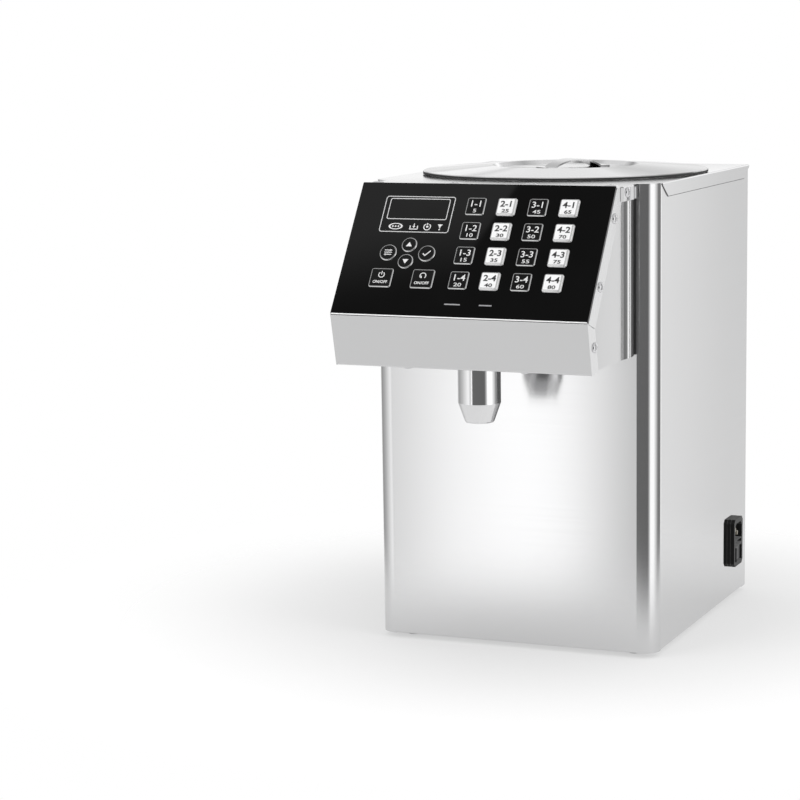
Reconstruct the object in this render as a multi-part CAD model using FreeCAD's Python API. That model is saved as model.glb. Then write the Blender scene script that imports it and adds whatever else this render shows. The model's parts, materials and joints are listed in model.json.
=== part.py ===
import FreeCAD, Part
import math
import os

# Counter-top fructose dispenser, in millimetres.
# x runs to the right as seen from the front, y to the back, z up.
# The origin is on the counter, under the middle of the cabinet's footprint.

V = FreeCAD.Vector

# ---- Sheet metal -----------------------------------------------------------
sheet = 1.0                   # thickness of every casing sheet
seam = 0.1                    # clearance beside a sheet's edge
fold_radius = 0.8             # inside radius of a fold
hole_clearance = 0.2          # radial, round a screw's shank

# ---- Tank and lid ----------------------------------------------------------
tank_radius = 126.0           # outside
tank_wall = 1.0
tank_depth = 172.0            # top of the flange to the end of the straight wall
tank_flange = 9.5             # how far the rim reaches out past the wall
tank_bottom_radius = 18.0
tank_floor_drop = 6.0         # fall of the floor to the drain
tank_opening_gap = 1.0        # radial, tank wall to the opening in the top cover
seal_thickness = 1.5
seal_width = 7.0
spout_radius = 9.5            # drain spout, outside
spout_length = 14.0
spout_wall = 1.5
seal_inset = 0.5              # seal's edge inside the tank's rim
heater_thickness = 2.0
heater_height = 60.0
heater_split = 12.0           # opening between the two ends of the band
heater_rise = 14.0            # above the tank's bottom bend

lid_skirt_gap = 2.5           # radial, tank rim to the lid's skirt
lid_sheet = 1.0
lid_skirt_height = 3.0
lid_ring_width = 66.0         # sloping ring, from the skirt to the recess
lid_ring_rise = 4.6
lid_recess_depth = 3.4
lid_recess_slope = 4.0        # radial width of the recess wall
lid_roll = 1.1                # rounding of the skirt's upper edge
lid_shoulder = 5.0            # flat between the skirt and the sloping ring
lid_crest = 1.4               # half width of the ring's rounded crest
lid_crest_fall = 0.3

handle_span = 52.0            # between the insides of the two ends
handle_rise = 8.6             # crown above the lid's recess
handle_thickness = 1.5
handle_width = 20.0
handle_foot = 12.0
handle_foot_corner = 4.0
handle_turn = 52.0            # degrees, seen from above
handle_off_centre = 8.0       # to the right of the lid's middle

# ---- Cabinet ---------------------------------------------------------------
side_room = 13.0              # tank to the side sheet
front_room = 24.0             # tank to the front sheet
rear_room = 35.0              # tank to the rear edge
plant_room = 267.5            # casing's bottom edge to the tank's straight wall
corner_radius = 18.0          # outside, on the two upright front corners
rear_flange = 14.0
bottom_flange = 14.0
top_flange = 12.0
bottom_corner_cut = 3.0
foot_height = 5.0             # casing's bottom edge above the counter
foot_radius = 9.5
foot_inset = 27.0
foot_stem_radius = 2.8
foot_stem_lip = 0.8
foot_stem_tip = 0.6           # how much the stem narrows
foot_stem_rise = 3.0          # above the base plate
foot_taper = 1.0
base_vent_count = 6
base_vent_length = 46.0
base_vent_width = 4.0
base_vent_pitch = 11.0
vent_end_flat = 0.05          # half the flat left in a vent's rounded end

service_hole_width = 150.0    # in the front sheet, behind the head
service_hole_height = 52.0
service_hole_rise = 8.0       # above the head's floor
service_hole_corner = 6.0

# ---- Top cover -------------------------------------------------------------
flange_depth = 13.0           # folded edges of the top cover
flange_slant = 18.5           # how much shorter a flange's lower edge is at each end
flange_front_gap = 1.0        # from the end of the rounded corner
flange_root = 4.0             # of a flange, kept inside the top sheet
tab_width = 29.0              # screwed tab on each side of the head
tab_depth = 13.0
tab_rear_gap = 13.0           # tab to the cabinet's front
tab_fold = 0.4

# ---- Head ------------------------------------------------------------------
head_top_depth = 55.6         # cabinet front to the keypad's upper edge
keypad_tilt = 35.0            # degrees, leaning back from upright
keypad_slant = 137.2
panel_thickness = 3.0
panel_corner = 1.0
panel_gap = 0.1
frame_rim_side = 20.0         # sheet left under the panel's left and right edges
frame_rim = 9.0               # and under its upper and lower edges
frame_corner = 3.0
fascia_slant = 49.0
fascia_lean = 13.3            # degrees, leaning in towards its lower edge
ledge_radius = 0.6
flap_width = 18.0             # side returns of the fascia
flap_slit = 0.6               # between the upper and the lower return
flap_slit_end = 2.0           # left whole at its inner end
flap_corner_cut = 3.0
side_overlap = 14.0           # head side sheet behind the returns
lip_depth = 18.0
floor_rise = 2.6              # head floor above the fascia's lip
floor_step = 3.0
floor_flange = 12.0
bead_width = 30.5             # upright bead at the rear of each head side
bead_crown = 1.8
bead_roll = 4.6               # outside radius of the rolled rear edge
side_flange = 12.0            # head side, screwed to the cabinet's front

# ---- Keypad ----------------------------------------------------------------
key_size = 18.0
key_pitch_down = 25.3
first_column = -6.0           # middle of the first column, from the panel's middle
last_column_inset = 39.2      # panel's right edge to the middle of the last column
first_row = 23.6              # middle of the first row, from the panel's upper edge
columns = 4
rows = 4
key_corner = 2.2
round_key_radius = 7.4
side_key_radius = 8.2
arrow_pitch = 17.0
side_key_pitch = 37.5
round_group_inset = 60.7      # panel's left edge to the middle of the round keys
round_group_down = 73.2
wide_key_width = 21.4
wide_key_height = 19.3
wide_key_inset = 41.1         # panel's left edge to the middle of the first wide key
wide_key_pitch = 40.2
wide_key_down = 99.2
key_proud = 0.9
key_edge = 0.6                # chamfer round a key's face
key_side_gap = 0.25
key_flange = 0.9
key_flange_thickness = 0.9
key_travel = 0.5
key_stem_radius = 2.5
key_stem_length = 1.2

window_width = 57.2
window_height = 20.4
window_inset = 61.0           # panel's left edge to the window's middle
window_down = 27.3
light_gap = 0.05
window_recess = 0.15
light_length_left = 15.0
light_length_right = 12.0
light_height = 1.3
light_left = -7.0
light_right = 24.4
light_down = 123.6

board_thickness = 1.6
board_depth = 9.0             # keypad panel's back to the board's face
board_side_gap = 10.0
board_top = 12.0              # panel's upper edge to the board's upper edge
board_height = 112.0
stud_radius = 2.5
stud_pin_radius = 1.4
stud_inset = 4.0              # board's edge to a stud's axis, across
stud_inset_down = 6.0         # and down
switch_body = 6.0
switch_button_radius = 1.7
switch_button_height = 0.8
switch_gap = 0.15             # stem to switch when a key is pressed home
display_board_margin = 3.0
display_gap = 0.4
digit_count = 4
digit_width_share = 0.72      # of its share of the window
digit_height = 15.0
digit_depth = 0.6
chip_size = 14.0
chip_height = 2.4
chip_across = 27.0
socket_length = 28.0          # cable socket on the board
socket_breadth = 8.0
socket_rise = 6.0
socket_across = -26.0
socket_down = 20.0            # below the board's middle
can_radius = 4.0              # capacitors
can_height = 9.0
can_across = (-70.0, -56.0)
can_up = 20.0                 # above the board's middle

# ---- Nozzle ----------------------------------------------------------------
nozzle_reach = 83.0           # cabinet front to the nozzle's axis
nozzle_radius = 19.5
nozzle_length = 37.3          # straight part
nozzle_cone = 18.0
nozzle_tip_radius = 13.0
nozzle_edge = 1.2
nozzle_bore = 4.5
nozzle_flare = 8.0
nozzle_flare_depth = 6.0
stem_radius = 9.0             # threaded stem of the connector
stem_depth = 24.0             # inside the nozzle
nut_flats = 28.0
nut_height = 6.0
elbow_radius = 12.0
elbow_height = 37.0
elbow_bore = 4.0
elbow_barb_height = 26.0      # barb's axis above the head floor

# ---- Hoses -----------------------------------------------------------------
hose_radius = 7.0
hose_wall = 2.0
barb_length = 15.0
port_run = 92.0               # first bend in line with a pump port, from the middle
suction_drop = 40.0           # straight down from the outlet fitting
suction_turn_across = 62.0    # next bend, to the left
suction_turn_forward = 24.0
suction_turn_drop = 76.0
suction_side_across = 96.0    # last bend, over the left port
suction_side_rise = 42.0
delivery_side_across = 104.0  # bend over the right port
delivery_side_back = 36.0     # behind the cabinet's front
delivery_side_rise = 52.0
delivery_upper_across = 98.0  # top of the upright run
delivery_upper_back = 19.0
delivery_upper_drop = 60.0    # below the elbow's barb
delivery_turn_across = 58.0   # turn across behind the front sheet
delivery_turn_back = 14.0
delivery_entry_across = 18.0  # just inside the head
delivery_entry_forward = 20.0
delivery_line_forward = 44.0  # in line with the barb

# ---- Outlet fitting --------------------------------------------------------
fitting_radius = 13.0
fitting_socket = 11.0
fitting_body = 20.0
fitting_shoulder = 4.0

# ---- Pump ------------------------------------------------------------------
pump_front = 78.0             # pump axis behind the cabinet's front
gear_module = 2.0
gear_teeth = 12
gear_pressure_angle = 25.0    # degrees
gear_addendum = 1.7
gear_dedendum = 2.3
gear_root_spread = 0.02       # radians, a tooth's foot past its flank
gear_backlash = 0.16
gear_width = 18.0
gear_side_gap = 0.1
gear_tip_gap = 0.15
gear_shaft_radius = 4.0
shaft_gap = 0.05
journal_length = 8.0
pump_wall = 9.0
pump_floor = 10.0
pump_cover_thickness = 12.0
port_radius = 8.0
port_neck = 4.0
port_bore = 3.5
pump_bolt_radius = 2.0
pump_bolt_head_radius = 3.4
pump_bolt_head_height = 3.0
bearing_end_gap = 0.5         # journal's end to the bottom of its hole
motor_radius = 28.0
motor_length = 84.0
motor_floor_gap = 6.0
motor_boss_radius = 11.0
motor_rim = 1.5
motor_shaft_depth = 14.0
bracket_sheet = 2.0
bracket_width = 66.0
bracket_side_gap = 8.0
bracket_foot = 16.0
bracket_fold = 1.5

# ---- Electrical ------------------------------------------------------------
inlet_width = 31.0
inlet_height = 48.5
inlet_proud = 11.3
inlet_chamfer = 3.6
inlet_from_rear = 67.5        # rear edge of the cabinet to the inlet's axis
inlet_low = 35.5              # casing's bottom edge to the inlet's lower edge
inlet_step = 0.5
inlet_layer = 3.6
inlet_groove = 0.5
inlet_body_inset = 2.0        # body behind the sheet, smaller than the bezel all round
inlet_body_depth = 22.0
inlet_body_fit = 0.15
inlet_body_corner = 1.2
socket_width = 24.0
socket_height = 17.0
socket_depth = 18.0
socket_top = 4.6              # below the bezel's upper edge
socket_corner = 4.0
fuse_slot_width = 21.0        # fuse drawer's recess under the socket
fuse_slot_height = 3.6
fuse_slot_gap = 0.7           # web between the two
fuse_slot_depth = 5.0
pin_width = 4.0
pin_thickness = 2.0
pin_spacing = 7.0             # line and neutral, each side of the middle
pin_offset = 4.0              # earth pin above them
pin_length = 15.0
pin_tail = 8.0
pin_row_low = 5.0             # socket's floor line to the line and neutral pins
rocker_width = 23.4
rocker_height = 14.6
rocker_low = 4.8              # above the bezel's lower edge
rocker_gap = 0.5
rocker_depth = 6.0
rocker_sunk = 0.4             # ends of its face, below the bezel when level
rocker_dish = 1.2
rocker_flank = 3.2            # height of its upright ends
rocker_back = 2.4             # behind the pivot
rocker_back_half = 4.0
rocker_pivot_rise = 2.0       # pivot above the rocker's depth
rocker_pivot_seat = 1.2       # well's wall to the end of the pivot's hole
rocker_pivot_slack = 0.2
rocker_swing_room = 3.2
rocker_angle = 9.0            # degrees each side of level
rocker_pin_radius = 1.2
rocker_pin_gap = 0.06
supply_width = 98.0
supply_length = 129.0
supply_height = 38.0
supply_gap = 6.0
terminal_ledge = 14.0
terminal_ledge_height = 16.0
terminal_count = 9
terminal_pitch = 9.0
terminal_width = 7.0
terminal_depth = 10.0
terminal_height = 8.0
terminal_inset = 8.0

# ---- Screws ----------------------------------------------------------------
screw_head_radius = 4.8
screw_head_height = 2.2
screw_shank_radius = 1.9
screw_shank_length = 6.0
strip_head_radius = 6.2
strip_head_height = 2.3
flap_screws_down = (26.0, 95.0)   # along the keypad's edge, from its upper edge
flap_screw_inset = 9.2
lower_screw_down = 27.5           # along the fascia's edge, from the ledge
lower_screw_inset = 13.0
tab_screw_forward = 18.7          # from the tab's rear edge
tab_screw_low = 5.2
strip_screw_inset = 9.5           # head's edge to the outer screws
strip_screw_back = 9.6            # behind the keypad's upper edge
lip_screw_inset = 65.5            # head's edge to a lip screw
lip_screw_back = 10.5             # behind the fascia's lower edge
rear_screw_low = 24.0
base_screw_span = 100.0

# ---- Rear cover ------------------------------------------------------------
rear_cover_margin = 2.0
louver_rows = 8
louver_pitch = 13.0
louver_length = 80.0
louver_height = 4.0
louver_depth = 3.0
louver_low = 60.0
louver_across = 58.0
louver_lap = 1.5              # hood above its slot
louver_nose = 0.5

# ---- Derived sizes and places ---------------------------------------------
cabinet_width = 2 * (tank_radius + side_room + sheet)
cabinet_depth = sheet + front_room + 2 * tank_radius + rear_room
side_x = cabinet_width / 2
front_y = -cabinet_depth / 2
rear_y = cabinet_depth / 2
bottom_z = foot_height
top_z = bottom_z + plant_room + tank_depth - tank_wall - seal_thickness
cover_under_z = top_z - sheet
side_top_z = cover_under_z - fold_radius
tank_y = front_y + sheet + front_room + tank_radius
base_z = bottom_z + sheet
base_top_z = base_z + sheet

head_half = side_x - corner_radius
key_pitch_across = (head_half - last_column_inset - first_column) / (columns - 1)
round_group_across = round_group_inset - head_half
wide_key_left = wide_key_inset - head_half
wide_key_right = wide_key_left + wide_key_pitch
window_across = window_inset - head_half
strip_screw_outer = head_half - strip_screw_inset
strip_screw_inner = strip_screw_outer / 3
tilt = math.radians(keypad_tilt)
lean = math.radians(fascia_lean)

# Section of the head, as (y, z) points
PANEL_UP = (math.sin(tilt), math.cos(tilt))
PANEL_OUT = (-math.cos(tilt), math.sin(tilt))
FASCIA_DOWN = (math.sin(lean), -math.cos(lean))
FASCIA_IN = (math.cos(lean), math.sin(lean))


def along(point, direction, distance):
    """The point moved by a distance along a direction, in a section."""
    return (point[0] + direction[0] * distance, point[1] + direction[1] * distance)


frame_top = (front_y - head_top_depth, top_z)
panel_top = along(frame_top, PANEL_OUT, panel_thickness)
ledge = along(panel_top, PANEL_UP, -keypad_slant)
frame_bottom = along(ledge, PANEL_OUT, -panel_thickness)
fascia_bottom = along(ledge, FASCIA_DOWN, fascia_slant)
lip_z = fascia_bottom[1]
head_floor_z = lip_z + floor_rise
head_side_x = head_half - sheet
bead_end_y = front_y - bead_roll
tab_x = head_side_x + bead_crown + seam + sheet
rear_cover_top = cover_under_z - rear_cover_margin

# Keypad, measured inwards from the panel's face
board_face = panel_thickness + board_depth
switch_top = panel_thickness + key_flange_thickness + key_stem_length + key_travel + switch_gap

# Nozzle
nozzle_y = front_y - nozzle_reach
nozzle_top_z = head_floor_z

# Tank and its outlet
flange_low_z = top_z + seal_thickness
flange_top_z = flange_low_z + tank_wall
wall_end_z = flange_top_z - tank_depth
floor_z = wall_end_z - tank_wall
spout_end_z = floor_z - tank_floor_drop - spout_length
fitting_low_z = spout_end_z + fitting_socket - fitting_body - fitting_shoulder

# Pump
pump_y = front_y + pump_front
pitch_radius = gear_module * gear_teeth / 2
gear_tip = pitch_radius + gear_addendum
bracket_top_z = base_top_z + motor_floor_gap + motor_length + bracket_sheet
pump_base_z = bracket_top_z
gear_low_z = pump_base_z + pump_floor + gear_side_gap
gear_high_z = gear_low_z + gear_width
cavity_high_z = gear_high_z + gear_side_gap
port_z = (gear_low_z + gear_high_z) / 2
pump_half_x = gear_tip + pump_wall
pump_half_y = pitch_radius + gear_tip + pump_wall
drive_y = pump_y - pitch_radius
driven_y = pump_y + pitch_radius

# Rocker's pivot
rocker_axis_x = side_x + inlet_proud - rocker_depth + rocker_pivot_rise


# ---- Shape helpers ---------------------------------------------------------
def box(x0, x1, y0, y1, z0, z1):
    """A box between two corners."""
    return Part.makeBox(x1 - x0, y1 - y0, z1 - z0, V(x0, y0, z0))


def rod(radius, start, end):
    """A round bar between two points."""
    axis = V(*end) - V(*start)
    return Part.makeCylinder(radius, axis.Length, V(*start), axis)


def fused(shapes):
    """All the shapes as one solid, with seams between coplanar faces removed."""
    first, rest = shapes[0], shapes[1:]
    return first.fuse(rest).removeSplitter() if rest else first


def mirrored(shape):
    """The shape on the other side of the centre plane."""
    return shape.mirror(V(0, 0, 0), V(1, 0, 0))


def corner_edges(points, radii, lift):
    """The sides of a closed figure, with each corner rounded to its own radius."""
    spots = [V(p[0], p[1], 0) for p in points]
    count = len(spots)
    place = lambda v: lift(v.x, v.y)
    joints = []
    for i in range(count):
        spot = spots[i]
        if radii[i] <= 0:
            joints.append((spot, None, spot))
            continue
        into = spot - spots[i - 1]
        out = spots[(i + 1) % count] - spot
        into.normalize()
        out.normalize()
        half = into.getAngle(out) / 2
        reach = radii[i] * math.tan(half)
        inward = out - into
        inward.normalize()
        middle = spot + inward * (radii[i] / math.cos(half) - radii[i])
        joints.append((spot - into * reach, middle, spot + out * reach))
    edges = []
    for i in range(count):
        start, middle, end = joints[i]
        if middle is not None:
            edges.append(Part.Arc(place(start), place(middle), place(end)).toShape())
        following = joints[(i + 1) % count][0]
        if (following - end).Length > 1e-6:
            edges.append(Part.LineSegment(place(end), place(following)).toShape())
    return edges


def outline(points, radii, lift):
    """A flat face bounded by a rounded polygon, placed by the lift."""
    radii = radii or [0.0] * len(points)
    return Part.Face(Part.Wire(corner_edges(points, radii, lift)))


def prism_x(points, x0, x1, radii=None):
    """A section of (y, z) points, run across from x0 to x1."""
    lift = lambda y, z: V(x0, y, z)
    return outline(points, radii, lift).extrude(V(x1 - x0, 0, 0))


def prism_y(points, y0, y1, radii=None):
    """A section of (x, z) points, run back from y0 to y1."""
    lift = lambda x, z: V(x, y0, z)
    return outline(points, radii, lift).extrude(V(0, y1 - y0, 0))


def prism_z(points, z0, z1, radii=None):
    """A plan of (x, y) points, run up from z0 to z1."""
    lift = lambda x, y: V(x, y, z0)
    return outline(points, radii, lift).extrude(V(0, 0, z1 - z0))


def offset_line(points, distance):
    """An open line of points moved sideways, to the left of its direction."""
    normals = []
    for (x0, y0), (x1, y1) in zip(points, points[1:]):
        length = math.hypot(x1 - x0, y1 - y0)
        normals.append(((y0 - y1) / length, (x1 - x0) / length))
    moved = []
    for i, (x, y) in enumerate(points):
        a = normals[max(i - 1, 0)]
        b = normals[min(i, len(normals) - 1)]
        share = distance / (1 + a[0] * b[0] + a[1] * b[1])
        moved.append((x + (a[0] + b[0]) * share, y + (a[1] + b[1]) * share))
    return moved


def folded(points, thickness, inside=fold_radius, special=None):
    """The closed section of a folded sheet. The points run along one face, and the sheet is on their left."""
    special = special or {}
    near, far = [0.0], [0.0]
    for i in range(1, len(points) - 1):
        (ax, ay), (bx, by), (cx, cy) = points[i - 1 : i + 2]
        left = (bx - ax) * (cy - by) - (by - ay) * (cx - bx) > 0
        radius = special.get(i, inside)
        near.append(radius + thickness if left else radius)
        far.append(radius if left else radius + thickness)
    near.append(0.0)
    far.append(0.0)
    other = offset_line(points, thickness)
    return points + other[::-1], near + far[::-1]


def rounded_rectangle(width, height, corner, x=0.0, y=0.0):
    """Points and radii of a rectangle about its middle."""
    w, h = width / 2, height / 2
    points = [(x - w, y - h), (x + w, y - h), (x + w, y + h), (x - w, y + h)]
    return points, [corner] * 4


def turned(profile, x=0.0, y=0.0):
    """A solid of revolution from (radius, z) points, about an upright axis."""
    wire = Part.makePolygon([V(r, 0, z) for r, z in profile + profile[:1]])
    solid = Part.Face(wire).revolve(V(0, 0, 0), V(0, 0, 1), 360)
    solid.translate(V(x, y, 0))
    return solid


def on_panel(shape):
    """A shape drawn flat, with x across, y up the slope and z outwards, laid on the keypad's face."""
    s, c = math.sin(tilt), math.cos(tilt)
    matrix = FreeCAD.Matrix(1, 0, 0, 0, 0, s, -c, panel_top[0], 0, c, s, panel_top[1], 0, 0, 0, 1)
    return placed(shape, matrix)


def placed(shape, matrix):
    """A copy of the shape under a rigid placement."""
    copy = shape.copy()
    copy.Placement = FreeCAD.Placement(matrix).multiply(copy.Placement)
    return copy


def hose(points, radius):
    """A solid round bar along straight runs joined by tangent arcs."""
    spots = [V(*p) for p in points]
    edges = []
    start = spots[0]
    for i in range(1, len(spots) - 1):
        into = spots[i] - spots[i - 1]
        out = spots[i + 1] - spots[i]
        shorter = min(into.Length, out.Length)
        into.normalize()
        out.normalize()
        half = into.getAngle(out) / 2
        reach = 0.45 * shorter
        bend = reach / math.tan(half)
        inward = out - into
        inward.normalize()
        middle = spots[i] + inward * (bend / math.cos(half) - bend)
        arc_start = spots[i] - into * reach
        arc_end = spots[i] + out * reach
        edges.append(Part.LineSegment(start, arc_start).toShape())
        edges.append(Part.Arc(arc_start, middle, arc_end).toShape())
        start = arc_end
    edges.append(Part.LineSegment(start, spots[-1]).toShape())
    direction = spots[1] - spots[0]
    profile = Part.Wire(Part.Circle(spots[0], direction, radius).toShape())
    return Part.Wire(edges).makePipeShell([profile], True, True)


# ---- Screws ----------------------------------------------------------------
def screw(head_radius, head_height, place, outward):
    """A pan-head screw whose head sits on a face at a place, facing outward."""
    edge = head_height * 0.45
    crown = head_radius * 0.62
    profile = [
        (0, head_height),
        (crown, head_height),
        (head_radius, head_height - edge),
        (head_radius, 0),
        (screw_shank_radius, 0),
        (screw_shank_radius, -screw_shank_length),
        (0, -screw_shank_length),
    ]
    return aimed(turned(profile), place, outward)


def aimed(shape, place, outward):
    """An upright shape moved to a place and turned so that its axis points outward."""
    rotation = FreeCAD.Rotation(V(0, 0, 1), V(*outward))
    copy = shape.copy()
    copy.Placement = FreeCAD.Placement(V(*place), rotation)
    return copy


def drill(place, outward):
    """What a screw's shank needs cut away."""
    tool = Part.makeCylinder(
        screw_shank_radius + hole_clearance,
        screw_shank_length + 4 * sheet,
        V(0, 0, -screw_shank_length - 2 * sheet),
    )
    return aimed(tool, place, outward)


def flap_screw_seats():
    """Screws through the side returns of the fascia, two up the keypad and one on the fascia."""
    seats = []
    inward = (-PANEL_OUT[0], -PANEL_OUT[1])
    for down in flap_screws_down:
        y, z = along(along(frame_top, PANEL_UP, -down), inward, flap_screw_inset)
        seats.append((y, z))
    seats.append(along(along(ledge, FASCIA_DOWN, lower_screw_down), FASCIA_IN, lower_screw_inset))
    return [((side * head_half, y, z), (side, 0, 0)) for side in (-1, 1) for y, z in seats]


def tab_screw_seats():
    """One screw through each tab of the top cover."""
    y = front_y - tab_rear_gap - tab_screw_forward
    z = top_z - tab_screw_low
    return [((side * tab_x, y, z), (side, 0, 0)) for side in (-1, 1)]


def strip_screw_seats():
    """Four screws along the head's top strip."""
    y = frame_top[0] + strip_screw_back
    across = [side * x for side in (-1, 1) for x in (strip_screw_inner, strip_screw_outer)]
    return [((x, y, top_z), (0, 0, 1)) for x in across]


def lip_screw_seats():
    """Two screws up through the fascia's lower lip."""
    y = fascia_bottom[0] + lip_screw_back
    return [((side * (head_half - lip_screw_inset), y, lip_z), (0, 0, -1)) for side in (-1, 1)]


def rear_screw_seats():
    """Six screws round the rear cover."""
    x = side_x - rear_flange / 2
    low = bottom_z + rear_screw_low
    high = rear_cover_top - rear_screw_low
    y = rear_y + sheet
    levels = (low, (low + high) / 2, high)
    return [((side * x, y, z), (0, 1, 0)) for side in (-1, 1) for z in levels]


def base_screw_seats():
    """Six screws up through the casing's bottom flanges into the base plate."""
    x = side_x - bottom_flange / 2
    return [
        ((side * x, y, bottom_z), (0, 0, -1))
        for side in (-1, 1)
        for y in (-base_screw_span / 2, 0, base_screw_span / 2)
    ]


casing_seats = (
    flap_screw_seats() + tab_screw_seats() + lip_screw_seats() + rear_screw_seats() + base_screw_seats()
)
strip_seats = strip_screw_seats()
all_drills = Part.makeCompound([drill(*seat) for seat in casing_seats + strip_seats])


# ---- Cabinet ---------------------------------------------------------------
def inlet_centre():
    """The middle of the inlet's back, on the right side sheet."""
    return (side_x, rear_y - inlet_from_rear, bottom_z + inlet_low + inlet_height / 2)


def corner_fold(x, level, rise, depth):
    """Section of a wall's edge folded inwards; the wall's outer face is at x, the flange's at the level."""
    near = level + 3 * sheet if rise > 0 else level - 3 * sheet
    line = [(x, near), (x, level), (x - depth, level)]
    return folded(line if (x > 0) == (rise < 0) else line[::-1], sheet)


def edge_flanges():
    """Inward flanges along the lower and upper edges of the front and both sides, and what they replace."""
    run_x = side_x - corner_radius
    y0, y1 = front_y + corner_radius, rear_y - rear_flange
    flanges, spent = [], []
    for level, rise, depth in ((bottom_z, 1, bottom_flange), (cover_under_z, -1, top_flange)):
        points, radii = corner_fold(side_x, level, rise, depth)
        right = prism_y(points, y0, y1, radii)
        turned_in = [(-x + side_x + front_y, z) for x, z in points]
        flanges += [right, mirrored(right), prism_x(turned_in, -run_x, run_x, radii)]
        z0, z1 = sorted((level, level + rise * 3 * sheet))
        spent += [box(x0, x0 + sheet, y0, y1, z0, z1) for x0 in (-side_x, side_x - sheet)]
        spent.append(box(-run_x, run_x, front_y, front_y + sheet, z0, z1))
    return flanges, spent


def cabinet_shell():
    """Front and both sides folded from one sheet, with flanges along its rear, lower and upper edges."""
    plan = [
        (-side_x + rear_flange, rear_y),
        (-side_x, rear_y),
        (-side_x, front_y),
        (side_x, front_y),
        (side_x, rear_y),
        (side_x - rear_flange, rear_y),
    ]
    big = corner_radius - sheet
    points, radii = folded(plan, sheet, special={2: big, 3: big})
    shell = prism_z(points, bottom_z, cover_under_z, radii)
    flanges, spent = edge_flanges()
    shell = fused([shell.cut(Part.makeCompound(spent))] + flanges)
    cut = [
        (rear_y - bottom_corner_cut, bottom_z - 1),
        (rear_y + 1, bottom_z - 1),
        (rear_y + 1, bottom_z + bottom_corner_cut),
    ]
    shell = shell.cut(prism_x(cut, -side_x - 1, side_x + 1))
    rear_top = box(-side_x - 1, side_x + 1, rear_y - rear_flange, rear_y + 1, side_top_z, top_z)
    shell = shell.cut(rear_top)
    middle = head_floor_z + service_hole_rise + service_hole_height / 2
    plan, corners = rounded_rectangle(service_hole_width, service_hole_height, service_hole_corner, 0, middle)
    shell = shell.cut(prism_y(plan, front_y - 1, front_y + sheet + 1, corners))
    x, y, z = inlet_centre()
    hole_w = inlet_width - 2 * inlet_body_inset + 2 * inlet_body_fit
    hole_h = inlet_height - 2 * inlet_body_inset + 2 * inlet_body_fit
    plan, corners = rounded_rectangle(hole_w, hole_h, inlet_body_corner, y, z)
    shell = shell.cut(prism_x(plan, x - sheet - 1, x + 1, corners))
    return shell.cut(all_drills)


def top_cover():
    """Top sheet with the tank's opening, folded flanges and the two screwed tabs."""
    under = top_z - sheet
    plan = [(-side_x, rear_y), (-side_x, front_y), (side_x, front_y), (side_x, rear_y)]
    plate = prism_z(plan, under, top_z, [0, corner_radius, corner_radius, 0])
    strip = box(-head_half, head_half, frame_top[0], front_y + sheet, under, top_z)
    parts = [plate, strip]
    flange_x = side_x + seam + sheet
    flange_front = front_y + corner_radius + flange_front_gap
    for side in (-1, 1):
        edge = cover_edge(flange_x, flange_front, rear_y, flange_depth, fold_radius)
        mask = slanted(flange_front, rear_y)
        edge = edge.common(prism_x(mask, 0, flange_x + 1))
        tab_rear = front_y - tab_rear_gap
        tab = cover_edge(tab_x, tab_rear - tab_width, tab_rear, tab_depth, tab_fold)
        parts += [edge, tab] if side > 0 else [mirrored(edge), mirrored(tab)]
    parts.append(cover_flange_rear())
    cover = fused(parts)
    opening = tank_radius + tank_opening_gap
    cover = cover.cut(Part.makeCylinder(opening, 2 * flange_depth, V(0, tank_y, top_z - flange_depth)))
    return cover.cut(all_drills)


def cover_edge(outer_x, y0, y1, depth, inside):
    """A right-hand edge of the top cover, folded down."""
    line = [(outer_x, top_z - depth), (outer_x, top_z), (outer_x - tab_depth / 2, top_z)]
    points, radii = folded(line, sheet, inside)
    return prism_y(points, y0, y1, radii)


def slanted(start, end):
    """Outline that cuts a folded flange's lower corners back, as (along, z) points."""
    shoulder = top_z - sheet - fold_radius
    low = top_z - flange_depth - 1
    points = [(start, top_z + 1), (start, shoulder), (start + flange_slant, low)]
    return points + [(end - flange_slant, low), (end, shoulder), (end, top_z + 1)]


def cover_flange_rear():
    """The folded edge that laps over the rear cover."""
    outer_y = rear_y + 2 * sheet + seam
    line = [(outer_y, top_z - flange_depth), (outer_y, top_z), (rear_y - flange_root, top_z)]
    points, radii = folded(line, sheet)
    fold = prism_x(points, -side_x, side_x, radii)
    return fold.common(prism_y(slanted(-side_x, side_x), 0, outer_y + 1))


def rear_cover():
    """Flat rear sheet with two banks of pressed louvers."""
    y0 = rear_y
    y1 = y0 + sheet
    half = side_x - rear_cover_margin
    plate = box(-half, half, y0, y1, bottom_z + rear_cover_margin, rear_cover_top)
    hoods, slots = [], []
    for side in (-1, 1):
        x0 = side * louver_across - louver_length / 2
        x1 = x0 + louver_length
        for row in range(louver_rows):
            z = bottom_z + louver_low + row * louver_pitch
            slots.append(box(x0 + 1, x1 - 1, y0 - 1, y1 + 1, z, z + louver_height))
            tip = y1 + louver_depth
            hood = [
                (y0, z + louver_height + louver_lap),
                (tip, z + louver_nose),
                (tip, z - louver_nose),
                (tip - sheet, z - louver_nose),
                (y0, z + louver_height - hole_clearance),
            ]
            hoods.append(prism_x(hood, x0, x1))
    plate = plate.cut(Part.makeCompound(slots))
    return fused([plate] + hoods).cut(all_drills)


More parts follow.
